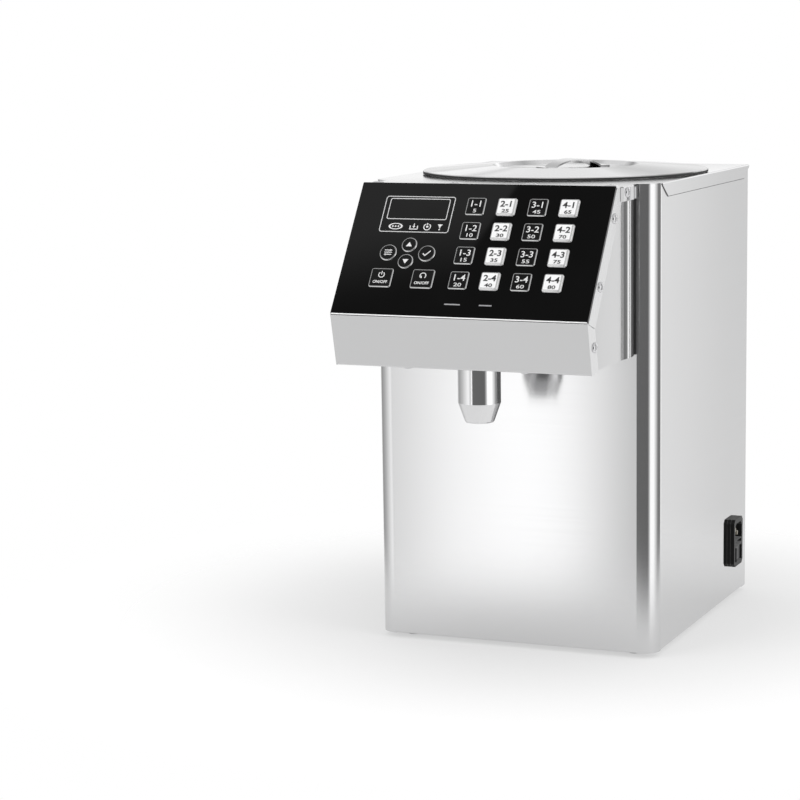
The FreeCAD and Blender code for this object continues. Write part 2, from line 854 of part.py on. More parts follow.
def base_plate():
    """Flat tray inside the casing's bottom flanges, with vent slots."""
    half = side_x - sheet - fold_radius
    y0 = front_y + sheet + fold_radius
    y1 = rear_y - sheet - fold_radius
    corner = corner_radius - sheet - fold_radius
    plan = [(-half, y1), (-half, y0), (half, y0), (half, y1)]
    plate = prism_z(plan, base_z, base_top_z, [0, corner, corner, 0])
    vents = []
    for i in range(base_vent_count):
        y = (i - (base_vent_count - 1) / 2) * base_vent_pitch
        for x in (-side_x / 2, side_x / 2):
            end = base_vent_width / 2 - vent_end_flat
            points, radii = rounded_rectangle(base_vent_length, base_vent_width, end, x, y)
            vents.append(prism_z(points, base_z - 1, base_top_z + 1, radii))
    plate = plate.cut(Part.makeCompound(vents))
    hole = foot_stem_radius + seam
    stems = [rod(hole, (x, y, base_z - 1), (x, y, base_top_z + 1)) for x, y in foot_places()]
    return plate.cut(Part.makeCompound(stems)).cut(all_drills)


def foot_places():
    """The four feet, seen from above."""
    x = side_x - foot_inset
    y = cabinet_depth / 2 - foot_inset
    return [(i * x, j * y) for j in (-1, 1) for i in (-1, 1)]


def rubber_feet():
    """Push-in rubber feet under the base plate."""
    feet = []
    for x, y in foot_places():
        profile = [
            (0, 0),
            (foot_radius - foot_taper, 0),
            (foot_radius, base_z),
            (foot_stem_radius, base_z),
            (foot_stem_radius, base_top_z),
            (foot_stem_radius + foot_stem_lip, base_top_z),
            (foot_stem_radius - foot_stem_tip, base_top_z + foot_stem_rise),
            (0, base_top_z + foot_stem_rise),
        ]
        feet.append(turned(profile, x, y))
    return Part.makeCompound(feet)


# ---- Head ------------------------------------------------------------------
def head_fascia():
    """Bent front sheet: keypad frame, ledge, fascia, lower lip, side returns and the board's studs."""
    back_y = frame_top[0] + 2 * strip_screw_back
    top = crossing(frame_top, PANEL_UP, (0, cover_under_z), (1, 0))
    cross = crossing(frame_bottom, PANEL_UP, ledge, FASCIA_DOWN)
    lip_end = (fascia_bottom[0] + lip_depth, lip_z)
    inner = offset_line([(back_y, cover_under_z), top, cross, fascia_bottom, lip_end], sheet)
    outer = [(back_y, cover_under_z), top, frame_bottom, ledge, fascia_bottom, lip_end]
    bent = fold_radius + sheet
    radii = [0, bent, 0, ledge_radius, bent, 0]
    radii += [0, fold_radius, 0, fold_radius, 0]
    body = prism_x(outer + inner[::-1], -head_half, head_half, radii)
    opening_w = 2 * (head_half - frame_rim_side)
    opening_h = keypad_slant - 2 * frame_rim
    plan, corners = rounded_rectangle(opening_w, opening_h, frame_corner, 0, -keypad_slant / 2)
    tool = prism_z(plan, -panel_thickness - 4 * sheet, -panel_thickness + sheet, corners)
    room_x = head_side_x - sheet - seam
    room = box(room_x, head_half - sheet, frame_top[0] + 3 * sheet, back_y + 1, side_top_z - sheet, top_z)
    body = body.cut([on_panel(tool), room, mirrored(room)])
    flap = side_returns()
    parts = [body, flap, mirrored(flap)]
    for x, y in stud_places():
        spacer = rod(stud_radius, (x, y, -panel_thickness - sheet / 2), (x, y, -board_face))
        pin = rod(stud_pin_radius, (x, y, -board_face + 0.5), (x, y, -board_face - 2 * board_thickness))
        parts.append(on_panel(spacer.fuse(pin)))
    return fused(parts).cut(all_drills)


def side_returns():
    """The right-hand returns of the fascia, upper and lower, with a slit at the ledge."""
    inward = (-PANEL_OUT[0], -PANEL_OUT[1])
    level = (0, cover_under_z)
    upper_in = along(frame_top, inward, flap_width)
    top_in = crossing(upper_in, PANEL_UP, level, (1, 0))
    top_out = crossing(frame_top, PANEL_UP, level, (1, 0))
    lower_in = along(ledge, FASCIA_IN, flap_width)
    middle = crossing(upper_in, PANEL_UP, lower_in, FASCIA_DOWN)
    low_in = crossing(lower_in, FASCIA_DOWN, (0, lip_z), (1, 0))
    side_low = (low_in[0] - flap_corner_cut, lip_z)
    side_up = along(low_in, FASCIA_DOWN, -flap_corner_cut / math.cos(lean))
    x0 = head_half - sheet
    upper = prism_x([top_out, frame_bottom, middle, top_in], x0, head_half)
    lower = prism_x([frame_bottom, ledge, fascia_bottom, side_low, side_up, middle], x0, head_half)
    both = upper.fuse(lower)
    span = math.hypot(middle[0] - frame_bottom[0], middle[1] - frame_bottom[1])
    run = ((middle[0] - frame_bottom[0]) / span, (middle[1] - frame_bottom[1]) / span)
    across = (-run[1] * flap_slit / 2, run[0] * flap_slit / 2)
    near = along(frame_bottom, run, -panel_thickness)
    far = along(middle, run, -flap_slit_end)
    slit = [
        (near[0] - across[0], near[1] - across[1]),
        (far[0] - across[0], far[1] - across[1]),
        (far[0] + across[0], far[1] + across[1]),
        (near[0] + across[0], near[1] + across[1]),
    ]
    return both.cut(prism_x(slit, x0 - 1, head_half + 1))


def crossing(a, da, b, db):
    """Where two lines of a section cross, each given by a point and a direction."""
    det = da[0] * -db[1] + da[1] * db[0]
    t = ((b[0] - a[0]) * -db[1] + (b[1] - a[1]) * db[0]) / det
    return along(a, da, t)


def head_side_right():
    """Right side sheet of the head, with an upright bead and a rolled rear edge."""
    x = head_side_x
    start_y = fascia_bottom[0] - flap_width
    bead_y = bead_end_y - bead_width
    mid_y = (bead_y + bead_end_y) / 2
    end_y = bead_end_y + bead_roll
    inner = x - sheet
    roll = bead_roll * math.sqrt(0.5)
    small = bead_roll - sheet
    small_roll = small * math.sqrt(0.5)
    edge_x = x - bead_roll
    line = lambda a, b: Part.LineSegment(a, b).toShape()
    arc = lambda a, b, c: Part.Arc(a, b, c).toShape()
    z0 = head_floor_z
    P = lambda px, py: V(px, py, z0)
    edges = [
        line(P(x, start_y), P(x, bead_y)),
        arc(P(x, bead_y), P(x + bead_crown, mid_y), P(x, bead_end_y)),
        arc(P(x, bead_end_y), P(edge_x + roll, bead_end_y + roll), P(edge_x, end_y)),
        line(P(edge_x, end_y), P(edge_x - side_flange, end_y)),
        line(P(edge_x - side_flange, end_y), P(edge_x - side_flange, end_y - sheet)),
        line(P(edge_x - side_flange, end_y - sheet), P(edge_x, end_y - sheet)),
        arc(P(edge_x, end_y - sheet), P(edge_x + small_roll, bead_end_y + small_roll), P(inner, bead_end_y)),
        arc(P(inner, bead_end_y), P(inner + bead_crown, mid_y), P(inner, bead_y)),
        line(P(inner, bead_y), P(inner, start_y)),
        line(P(inner, start_y), P(x, start_y)),
    ]
    body = Part.Face(Part.Wire(edges)).extrude(V(0, 0, side_top_z - z0))
    inward = (-PANEL_OUT[0], -PANEL_OUT[1])
    hidden = flap_width - side_overlap
    upper = along(frame_top, inward, hidden)
    lower = along(ledge, FASCIA_IN, hidden)
    middle = crossing(upper, PANEL_UP, lower, FASCIA_DOWN)
    top = crossing(upper, PANEL_UP, (0, side_top_z), (1, 0))
    low = crossing(lower, FASCIA_DOWN, (0, head_floor_z), (1, 0))
    far = front_y + 1
    mask = prism_x([top, middle, low, (far, low[1]), (far, top[1])], 0, head_half + bead_crown)
    return body.common(mask).cut(all_drills)


def head_floor():
    """Bottom sheet of the head, stepped down on to the fascia's lip."""
    front = fascia_bottom[0] + 2 * sheet
    step = fascia_bottom[0] + lip_depth
    lip_top = lip_z + sheet
    rear = front_y
    line = [
        (front, lip_top),
        (step, lip_top),
        (step + floor_step, head_floor_z),
        (rear, head_floor_z),
        (rear, head_floor_z + floor_flange),
    ]
    points, radii = folded(line, sheet)
    half = head_side_x - sheet - seam
    plate = prism_x(points, -half, half, radii)
    inner = head_side_x - bead_roll - side_flange - seam
    notch = box(inner, half + 1, rear - bead_roll, rear + 1, lip_z, top_z)
    plate = plate.cut([notch, mirrored(notch)])
    hole = rod(stem_radius + hole_clearance, (0, nozzle_y, lip_z), (0, nozzle_y, head_floor_z + 5))
    return plate.cut(hole).cut(all_drills)


# ---- Keypad ----------------------------------------------------------------
def key_table():
    """Every key: its name, its middle on the panel, and its face as points and corner radii, or a radius."""
    table = []
    for column in range(columns):
        for row in range(rows):
            across = first_column + column * key_pitch_across
            down = first_row + row * key_pitch_down
            name = "key_%d_%d" % (column + 1, row + 1)
            table.append((name, across, down, (key_size, key_size)))
    half = arrow_pitch / 2
    side = side_key_pitch / 2
    table.append(("key_up", round_group_across, round_group_down - half, round_key_radius))
    table.append(("key_down", round_group_across, round_group_down + half, round_key_radius))
    table.append(("key_set", round_group_across - side, round_group_down, side_key_radius))
    table.append(("key_save", round_group_across + side, round_group_down, side_key_radius))
    wide = (wide_key_width, wide_key_height)
    table.append(("key_power", wide_key_left, wide_key_down, wide))
    table.append(("key_continuous", wide_key_right, wide_key_down, wide))
    return table


def key_prism(across, down, face, growth, z0, z1):
    """A key's outline grown by a margin, from z0 to z1 over the panel's face."""
    if isinstance(face, tuple):
        width, height = face[0] + 2 * growth, face[1] + 2 * growth
        points, radii = rounded_rectangle(width, height, key_corner + max(growth, 0), across, -down)
        return prism_z(points, z0, z1, radii)
    return rod(face + growth, (across, -down, z0), (across, -down, z1))


def key_top(across, down, face):
    """The upper edge of a key's cap, chamfered."""
    low = key_proud - key_edge
    if isinstance(face, tuple):
        loops = []
        for shrink, z in ((0, low), (key_edge, key_proud)):
            points, radii = rounded_rectangle(
                face[0] - 2 * shrink, face[1] - 2 * shrink, key_corner - shrink, across, -down
            )
            loops.append(Part.Wire(corner_edges(points, radii, lambda x, y, z=z: V(x, y, z))))
        return Part.makeLoft(loops, True, True)
    return Part.makeCone(face, face - key_edge, key_edge, V(across, -down, low))


def key(across, down, face):
    """A key: cap, the flange that keeps it behind the panel, and the stem over its switch."""
    flange_top = -panel_thickness
    flange_low = flange_top - key_flange_thickness
    cap = key_prism(across, down, face, 0.0, flange_low, key_proud - key_edge)
    flange = key_prism(across, down, face, key_flange, flange_low, flange_top)
    stem_end = flange_low - key_stem_length
    stem = rod(key_stem_radius, (across, -down, flange_low), (across, -down, stem_end))
    return on_panel(fused([cap, key_top(across, down, face), flange, stem]))


def keypad_panel():
    """Glossy panel with openings for the keys, the display window and the two lights."""
    width = 2 * head_half
    height = keypad_slant - panel_gap
    points, radii = rounded_rectangle(width, height, panel_corner, 0, -height / 2)
    plate = prism_z(points, -panel_thickness, 0, radii)
    z0, z1 = -panel_thickness - 1, 1
    tools = [key_prism(a, d, face, key_side_gap, z0, z1) for _, a, d, face in key_table()]
    tools.append(window_block(z0, z1))
    tools += [light_block(a, length, light_gap, z0, z1) for a, length in light_places()]
    return on_panel(plate.cut(Part.makeCompound(tools)))


def window_block(z0, z1):
    """The display window's outline, from z0 to z1 over the panel's face."""
    w, h = window_width / 2, window_height / 2
    return box(window_across - w, window_across + w, -window_down - h, -window_down + h, z0, z1)


def light_places():
    """The two indicator lights: middle and length."""
    return ((light_left, light_length_left), (light_right, light_length_right))


def light_block(across, length, growth, z0, z1):
    """One indicator light's outline, grown by a margin."""
    w = length / 2 + growth
    h = light_height / 2 + growth
    return box(across - w, across + w, -light_down - h, -light_down + h, z0, z1)


def display_window():
    """Clear window let into the panel."""
    return on_panel(window_block(-panel_thickness, -window_recess))


def indicator_lights():
    """Two light bars let into the panel, reaching back to the board."""
    bars = [light_block(a, length, 0.0, -board_face, -window_recess) for a, length in light_places()]
    return on_panel(Part.makeCompound(bars))


def display_module():
    """Numeric display between the board and the window, with four digit wells."""
    w = window_width / 2 + display_board_margin
    h = window_height / 2 + display_board_margin
    front = -panel_thickness - display_gap
    body = box(window_across - w, window_across + w, -window_down - h, -window_down + h, -board_face, front)
    wells = []
    pitch = window_width / digit_count
    half = pitch * digit_width_share / 2
    low = -window_down - digit_height / 2
    for i in range(digit_count):
        x = window_across + (i - (digit_count - 1) / 2) * pitch
        wells.append(box(x - half, x + half, low, low + digit_height, front - digit_depth, front + 1))
    return on_panel(body.cut(Part.makeCompound(wells)))


def board_half_width():
    """Half the control board's width."""
    return head_side_x - sheet - board_side_gap


def stud_places():
    """The board's four studs, as panel coordinates."""
    x = board_half_width() - stud_inset
    high = -board_top - stud_inset_down
    low = -board_top - board_height + stud_inset_down
    return [(side * x, y) for side in (-1, 1) for y in (high, low)]


def control_board():
    """Printed circuit board with its larger components."""
    half = board_half_width()
    z1 = -board_face
    z0 = z1 - board_thickness
    plate = box(-half, half, -board_top - board_height, -board_top, z0, z1)
    holes = [rod(stud_pin_radius + seam, (x, y, z0 - 1), (x, y, z1 + 1)) for x, y in stud_places()]
    plate = plate.cut(Part.makeCompound(holes))
    y = -board_top - board_height / 2
    root = z0 + board_thickness / 2
    parts = [plate]
    for x, down, width, height, rise in (
        (chip_across, 0.0, chip_size, chip_size, chip_height),
        (socket_across, socket_down, socket_length, socket_breadth, socket_rise),
    ):
        low = y - down - height / 2
        parts.append(box(x - width / 2, x + width / 2, low, low + height, z0 - rise, root))
    for x in can_across:
        parts.append(rod(can_radius, (x, y + can_up, root), (x, y + can_up, z0 - can_height)))
    return on_panel(fused(parts))


def key_switches():
    """One small push switch on the board behind every key."""
    half = switch_body / 2
    bodies = []
    for _, across, down, _ in key_table():
        top = -switch_top - switch_button_height
        body = box(across - half, across + half, -down - half, -down + half, -board_face, top)
        button = rod(switch_button_radius, (across, -down, top - switch_gap), (across, -down, -switch_top))
        bodies.append(on_panel(fused([body, button])))
    return Part.makeCompound(bodies)


# ---- Nozzle ----------------------------------------------------------------
def nozzle_body():
    """Polished nozzle: straight barrel, matt cone and a flared outlet."""
    cone_z = nozzle_top_z - nozzle_length
    tip_z = cone_z - nozzle_cone
    socket = stem_radius
    socket_z = nozzle_top_z - stem_depth - seam
    profile = [
        (socket, nozzle_top_z),
        (nozzle_radius, nozzle_top_z),
        (nozzle_radius, cone_z),
        (nozzle_tip_radius + nozzle_edge * 0.4, tip_z + nozzle_edge),
        (nozzle_tip_radius - nozzle_edge * 0.4, tip_z),
        (nozzle_flare, tip_z),
        (nozzle_bore, tip_z + nozzle_flare_depth),
        (nozzle_bore, socket_z),
        (socket, socket_z),
    ]
    return turned(profile, 0, nozzle_y)


def nozzle_connector():
    """Elbow that carries the nozzle under the head floor and takes the hose from behind."""
    seat = head_floor_z + sheet
    low = nozzle_top_z - stem_depth
    stem = rod(stem_radius, (0, nozzle_y, low), (0, nozzle_y, seat + nut_height + 1))
    block = rod(elbow_radius, (0, nozzle_y, seat + nut_height), (0, nozzle_y, head_floor_z + elbow_height))
    z = head_floor_z + elbow_barb_height
    barb_end = nozzle_y + elbow_radius + barb_length
    barb = rod(hose_radius - hose_wall, (0, nozzle_y, z), (0, barb_end, z))
    body = fused([stem, block, barb])
    body = body.cut(rod(elbow_bore, (0, nozzle_y, low - 1), (0, nozzle_y, z + elbow_bore)))
    return body.cut(rod(elbow_bore - 1, (0, nozzle_y, z), (0, barb_end + 1, z)))


def nozzle_nut():
    """Hexagon nut that clamps the connector to the head floor."""
    z0 = head_floor_z + sheet
    corner = nut_flats / math.sqrt(3)
    points = [
        (corner * math.cos(math.radians(60 * i)), nozzle_y + corner * math.sin(math.radians(60 * i)))
        for i in range(6)
    ]
    nut = prism_z(points, z0, z0 + nut_height)
    return nut.cut(rod(stem_radius, (0, nozzle_y, z0 - 1), (0, nozzle_y, z0 + nut_height + 1)))


# ---- Tank and lid ----------------------------------------------------------
def arc_points(cx, cz, radius, start, end, steps):
    """Points along a round corner of a turned section, angles in degrees."""
    points = []
    for i in range(steps + 1):
        a = math.radians(start + (end - start) * i / steps)
        points.append((cx + radius * math.cos(a), cz + radius * math.sin(a)))
    return points


def tank():
    """Round pot hung by its rim, with a floor that falls to a drain spout."""
    r_out, r_in = tank_radius, tank_radius - tank_wall
    bend = tank_bottom_radius
    centre_r = r_out - bend
    centre_z = wall_end_z + bend - tank_wall
    outer = arc_points(centre_r, centre_z, bend, 0, -90, 6)
    inner = arc_points(centre_r, centre_z, bend - tank_wall, -90, 0, 6)
    drain_z = floor_z - tank_floor_drop
    spout_end = spout_end_z
    bore = spout_radius - spout_wall
    profile = [(r_in, flange_top_z), (tank_radius + tank_flange, flange_top_z)]
    profile += [(tank_radius + tank_flange, flange_low_z), (r_out, flange_low_z)]
    profile += outer
    profile += [(spout_radius, drain_z), (spout_radius, spout_end)]
    profile += [(bore, spout_end), (bore, drain_z + tank_wall)]
    profile += inner
    return turned(profile, 0, tank_y)


def tank_seal():
    """Silicone ring between the top cover and the tank's rim."""
    outer = tank_radius + tank_flange - seal_inset
    inner = outer - seal_width
    ring = [(inner, top_z), (outer, top_z), (outer, flange_low_z), (inner, flange_low_z)]
    return turned(ring, 0, tank_y)


def tank_heater():
    """Flat heating band round the lower wall of the tank, open where its ends meet."""
    inner = tank_radius
    outer = inner + heater_thickness
    low = wall_end_z + tank_bottom_radius + heater_rise
    high = low + heater_height
    ring = turned([(inner, low), (outer, low), (outer, high), (inner, high)], 0, tank_y)
    half = heater_split / 2
    return ring.cut(box(-half, half, tank_y, tank_y + outer + 1, low - 1, high + 1))


def lid_profile():
    """Outer face of the lid, from the skirt's lower edge to the middle of the recess."""
    skirt = tank_radius + tank_flange + lid_skirt_gap + lid_sheet
    low = flange_top_z + lid_sheet - lid_skirt_height
    shoulder = low + lid_skirt_height
    ring_in = skirt - lid_ring_width
    ring_top = shoulder + lid_ring_rise
    recess = ring_in - lid_recess_slope
    recess_z = ring_top - lid_recess_depth
    return skirt, low, shoulder, ring_in, ring_top, recess, recess_z


def lid():
    """Pressed lid: skirt, sloping ring and a shallow recess for the handle."""
    skirt, low, shoulder, ring_in, ring_top, recess, recess_z = lid_profile()
    t = lid_sheet
    soft = lid_roll * (1 - math.sqrt(0.5))
    outer = [
        (0, recess_z),
        (recess, recess_z),
        (ring_in - lid_crest, ring_top - lid_crest_fall),
        (ring_in + lid_crest, ring_top),
        (skirt - lid_shoulder, shoulder),
        (skirt - lid_roll, shoulder),
        (skirt - soft, shoulder - soft),
        (skirt, shoulder - lid_roll),
        (skirt, low),
    ]
    inner = [
        (skirt - t, low),
        (skirt - t, shoulder - t),
        (skirt - lid_shoulder, shoulder - t),
        (ring_in + lid_crest, ring_top - t),
        (ring_in - lid_crest, ring_top - t - lid_crest_fall),
        (recess, recess_z - t),
        (0, recess_z - t),
    ]
    return turned(outer + inner, 0, tank_y)


def lid_handle():
    """Arched strap welded across the lid's recess."""
    base = lid_profile()[6]
    half = handle_span / 2
    t = handle_thickness
    crown = base + handle_rise
    outer_edge = Part.Arc(V(-half - 2 * t, 0, base), V(0, 0, crown), V(half + 2 * t, 0, base)).toShape()
    inner_edge = Part.Arc(V(half, 0, base), V(0, 0, crown - t), V(-half, 0, base)).toShape()
    right = Part.LineSegment(V(half + 2 * t, 0, base), V(half, 0, base)).toShape()
    left = Part.LineSegment(V(-half, 0, base), V(-half - 2 * t, 0, base)).toShape()
    strap = Part.Face(Part.Wire([outer_edge, right, inner_edge, left])).extrude(V(0, handle_width, 0))
    strap.translate(V(0, -handle_width / 2, 0))
    parts = [strap]
    w = handle_width / 2
    for side in (-1, 1):
        xs = sorted((side * (half + t), side * (half + handle_foot)))
        points = [(xs[0], -w), (xs[1], -w), (xs[1], w), (xs[0], w)]
        corner = handle_foot_corner
        radii = [0, corner, corner, 0] if side > 0 else [corner, 0, 0, corner]
        parts.append(prism_z(points, base, base + t, radii))
    handle = fused(parts)
    handle.rotate(V(0, 0, 0), V(0, 0, 1), handle_turn)
    handle.translate(V(handle_off_centre, tank_y, 0))
    return handle


# ---- Outlet fitting and hoses ----------------------------------------------
def outlet_fitting():
    """Fitting pushed on the tank's spout, with a barb below."""
    top = spout_end_z + fitting_socket
    body_low = fitting_low_z
    profile = [
        (spout_radius, top),
        (fitting_radius, top),
        (fitting_radius, body_low),
        (hose_radius - hose_wall, body_low),
        (hose_radius - hose_wall, body_low - barb_length),
        (port_bore, body_low - barb_length),
        (port_bore, spout_end_z),
        (spout_radius, spout_end_z),
    ]
    return turned(profile, 0, tank_y)


def hollow_hose(points):
    """A hose along its route."""
    return hose(points, hose_radius).cut(hose(points, hose_radius - hose_wall))


def suction_hose():
    """From the outlet fitting round the left side to the pump's left port."""
    end_x = -(pump_half_x + port_neck)
    return hollow_hose(
        [
            (0, tank_y, fitting_low_z),
            (0, tank_y, fitting_low_z - suction_drop),
            (-suction_turn_across, tank_y - suction_turn_forward, fitting_low_z - suction_turn_drop),
            (-suction_side_across, (tank_y + pump_y) / 2, port_z + suction_side_rise),
            (-port_run, pump_y, port_z),
            (end_x, pump_y, port_z),
        ]
    )


def delivery_hose():
    """From the pump's right port up the front corner and through the front sheet to the nozzle."""
    start_x = pump_half_x + port_neck
    z = head_floor_z + elbow_barb_height
    end_y = nozzle_y + elbow_radius
    return hollow_hose(
        [
            (start_x, pump_y, port_z),
            (port_run, pump_y, port_z),
            (delivery_side_across, front_y + delivery_side_back, port_z + delivery_side_rise),
            (delivery_upper_across, front_y + delivery_upper_back, z - delivery_upper_drop),
            (delivery_turn_across, front_y + delivery_turn_back, z),
            (delivery_entry_across, front_y - delivery_entry_forward, z),
            (0, front_y - delivery_line_forward, z),
            (0, end_y, z),
        ]
    )


# ---- Gear pump -------------------------------------------------------------
def involute_flank(base_radius, radius):
    """Polar angle of the involute at a radius, in radians."""
    if radius <= base_radius:
        return 0.0
    a = math.acos(base_radius / radius)
    return math.tan(a) - a


def spur_gear(phase):
    """Teeth of a spur gear about the z axis, with true involute flanks, turned by the phase in radians."""
    base_radius = pitch_radius * math.cos(math.radians(gear_pressure_angle))
    root = pitch_radius - gear_dedendum
    tip = pitch_radius + gear_addendum
    pitch_angle = 2 * math.pi / gear_teeth
    half_tooth = pitch_angle / 4 - gear_backlash / 2 / pitch_radius
    shift = involute_flank(base_radius, pitch_radius)
    start = max(root, base_radius)
    radii = [start + (tip - start) * i / 4 for i in range(5)]
    points = []
    for tooth in range(gear_teeth):
        middle = phase + tooth * pitch_angle
        flank = [(r, half_tooth + shift - involute_flank(base_radius, r)) for r in radii]
        rising = [(root, half_tooth + shift + gear_root_spread)] if root < base_radius else []
        side = rising + flank
        for r, a in side:
            points.append((r * math.cos(middle - a), r * math.sin(middle - a)))
        for r, a in reversed(side):
            points.append((r * math.cos(middle + a), r * math.sin(middle + a)))
    return prism_z(points, gear_low_z, gear_high_z)


def drive_gear():
    """Gear and shaft in one, running from the motor to the cover's bearing."""
    teeth = spur_gear(math.pi / 2)
    low = bracket_top_z - motor_shaft_depth
    shaft = rod(gear_shaft_radius, (0, 0, low), (0, 0, gear_high_z + journal_length))
    gear = fused([teeth, shaft])
    gear.translate(V(0, drive_y, 0))
    return gear


def driven_gear():
    """Idle gear with a journal at each end."""
    teeth = spur_gear(math.pi / 2 + math.pi / gear_teeth)
    shaft = rod(gear_shaft_radius, (0, 0, gear_low_z - journal_length), (0, 0, gear_high_z + journal_length))
    gear = fused([teeth, shaft])
    gear.translate(V(0, driven_y, 0))
    return gear


def pump_plan():
    """Outline of the pump's body, seen from above."""
    y0, y1 = pump_y - pump_half_y, pump_y + pump_half_y
    points = [(-pump_half_x, y0), (pump_half_x, y0), (pump_half_x, y1), (-pump_half_x, y1)]
    return points, [pump_wall] * 4


def pump_bolts(radius, z0, z1):
    """A round bar on each of the four bolt axes."""
    x = pump_half_x - pump_wall / 2
    y = pump_half_y - pump_wall / 2
    places = [(i * x, pump_y + j * y) for i in (-1, 1) for j in (-1, 1)]
    return [rod(radius, (px, py, z0), (px, py, z1)) for px, py in places]


def pump_body():
    """Block with the gear cavity, the journals' bores and a hose port on each side."""
    points, radii = pump_plan()
    block = prism_z(points, pump_base_z, cavity_high_z, radii)
    parts = [block]
    for side in (-1, 1):
        near = side * (pump_half_x - 1)
        neck = side * (pump_half_x + port_neck)
        end = side * (pump_half_x + port_neck + barb_length)
        parts.append(rod(port_radius, (near, pump_y, port_z), (neck, pump_y, port_z)))
        parts.append(rod(hose_radius - hose_wall, (near, pump_y, port_z), (end, pump_y, port_z)))
    body = fused(parts)
    cavity_low = gear_low_z - gear_side_gap
    bore = gear_tip + gear_tip_gap
    hole = gear_shaft_radius + shaft_gap
    tools = []
    for y, low in ((drive_y, pump_base_z - 1), (driven_y, gear_low_z - journal_length - bearing_end_gap)):
        tools.append(rod(bore, (0, y, cavity_low), (0, y, cavity_high_z + 1)))
        tools.append(rod(hole, (0, y, low), (0, y, cavity_low + 1)))
    reach = pump_half_x + port_neck + barb_length + 1
    tools.append(rod(port_bore, (-reach, pump_y, port_z), (reach, pump_y, port_z)))
    tools += pump_bolts(pump_bolt_radius, pump_base_z + pump_floor, cavity_high_z + 1)
    return body.cut(Part.makeCompound(tools))


def pump_cover():
    """Lid of the pump with both upper bearings, and its four bolts."""
    points, radii = pump_plan()
    low = cavity_high_z
    high = low + pump_cover_thickness
    plate = prism_z(points, low, high, radii)
    hole = gear_shaft_radius + shaft_gap
    blind = gear_high_z + journal_length + bearing_end_gap
    tools = [rod(hole, (0, y, low - 1), (0, y, blind)) for y in (drive_y, driven_y)]
    plate = plate.cut(Part.makeCompound(tools))
    return fused([plate] + pump_bolts(pump_bolt_head_radius, high - 1, high + pump_bolt_head_height))


def pump_motor():
    """Motor hung under the bracket, with a stepped can and a socket for the gear's shaft."""
    top = bracket_top_z - bracket_sheet
    low = top - motor_length
    bore = gear_shaft_radius + shaft_gap
    socket = bracket_top_z - motor_shaft_depth - bearing_end_gap
    boss_top = bracket_top_z - seam
    profile = [
        (0, socket),
        (bore, socket),
        (bore, boss_top),
        (motor_boss_radius, boss_top),
        (motor_boss_radius, top),
        (motor_radius - motor_rim, top),
        (motor_radius, top - motor_rim),
        (motor_radius, low + motor_rim),
        (motor_radius - motor_rim, low),
        (0, low),
    ]
    return turned(profile, 0, drive_y)


def pump_bracket():
    """Bridge over the motor, folded from one sheet, with a foot each side."""
    x_in = motor_radius + bracket_side_gap
    x_out = x_in + bracket_sheet
    foot_x = x_out + bracket_foot
    low, high = base_top_z, bracket_top_z
    line = [(foot_x, low + bracket_sheet), (x_out, low + bracket_sheet), (x_out, high), (-x_out, high)]
    line += [(-x_out, low + bracket_sheet), (-foot_x, low + bracket_sheet)]
    points, radii = folded(line, bracket_sheet, bracket_fold)
    y0 = drive_y - bracket_width / 2
    body = prism_y(points, y0, y0 + bracket_width + pump_half_y, radii)
    return body.cut(rod(motor_boss_radius + seam, (0, drive_y, high - 5), (0, drive_y, high + 5)))


# ---- Electrical ------------------------------------------------------------
def across_inlet(points, radii, x0, x1):
    """A plan drawn on the side sheet about the inlet's middle, run outwards."""
    x, y, z = inlet_centre()
    moved = [(y + a, z + b) for a, b in points]
    return prism_x(moved, x + x0, x + x1, radii)


def octagon(width, height, cut):
    """A rectangle with its corners cut, as points."""
    w, h = width / 2, height / 2
    return [
        (-w + cut, -h), (w - cut, -h), (w, -h + cut), (w, h - cut),
        (w - cut, h), (-w + cut, h), (-w, h - cut), (-w, -h + cut),
    ]


def socket_middle():
    """Height of the socket's middle over the inlet's middle."""
    return inlet_height / 2 - socket_top - socket_height / 2


def rocker_middle():
    """Height of the rocker's middle over the inlet's middle."""
    return -inlet_height / 2 + rocker_low + rocker_height / 2


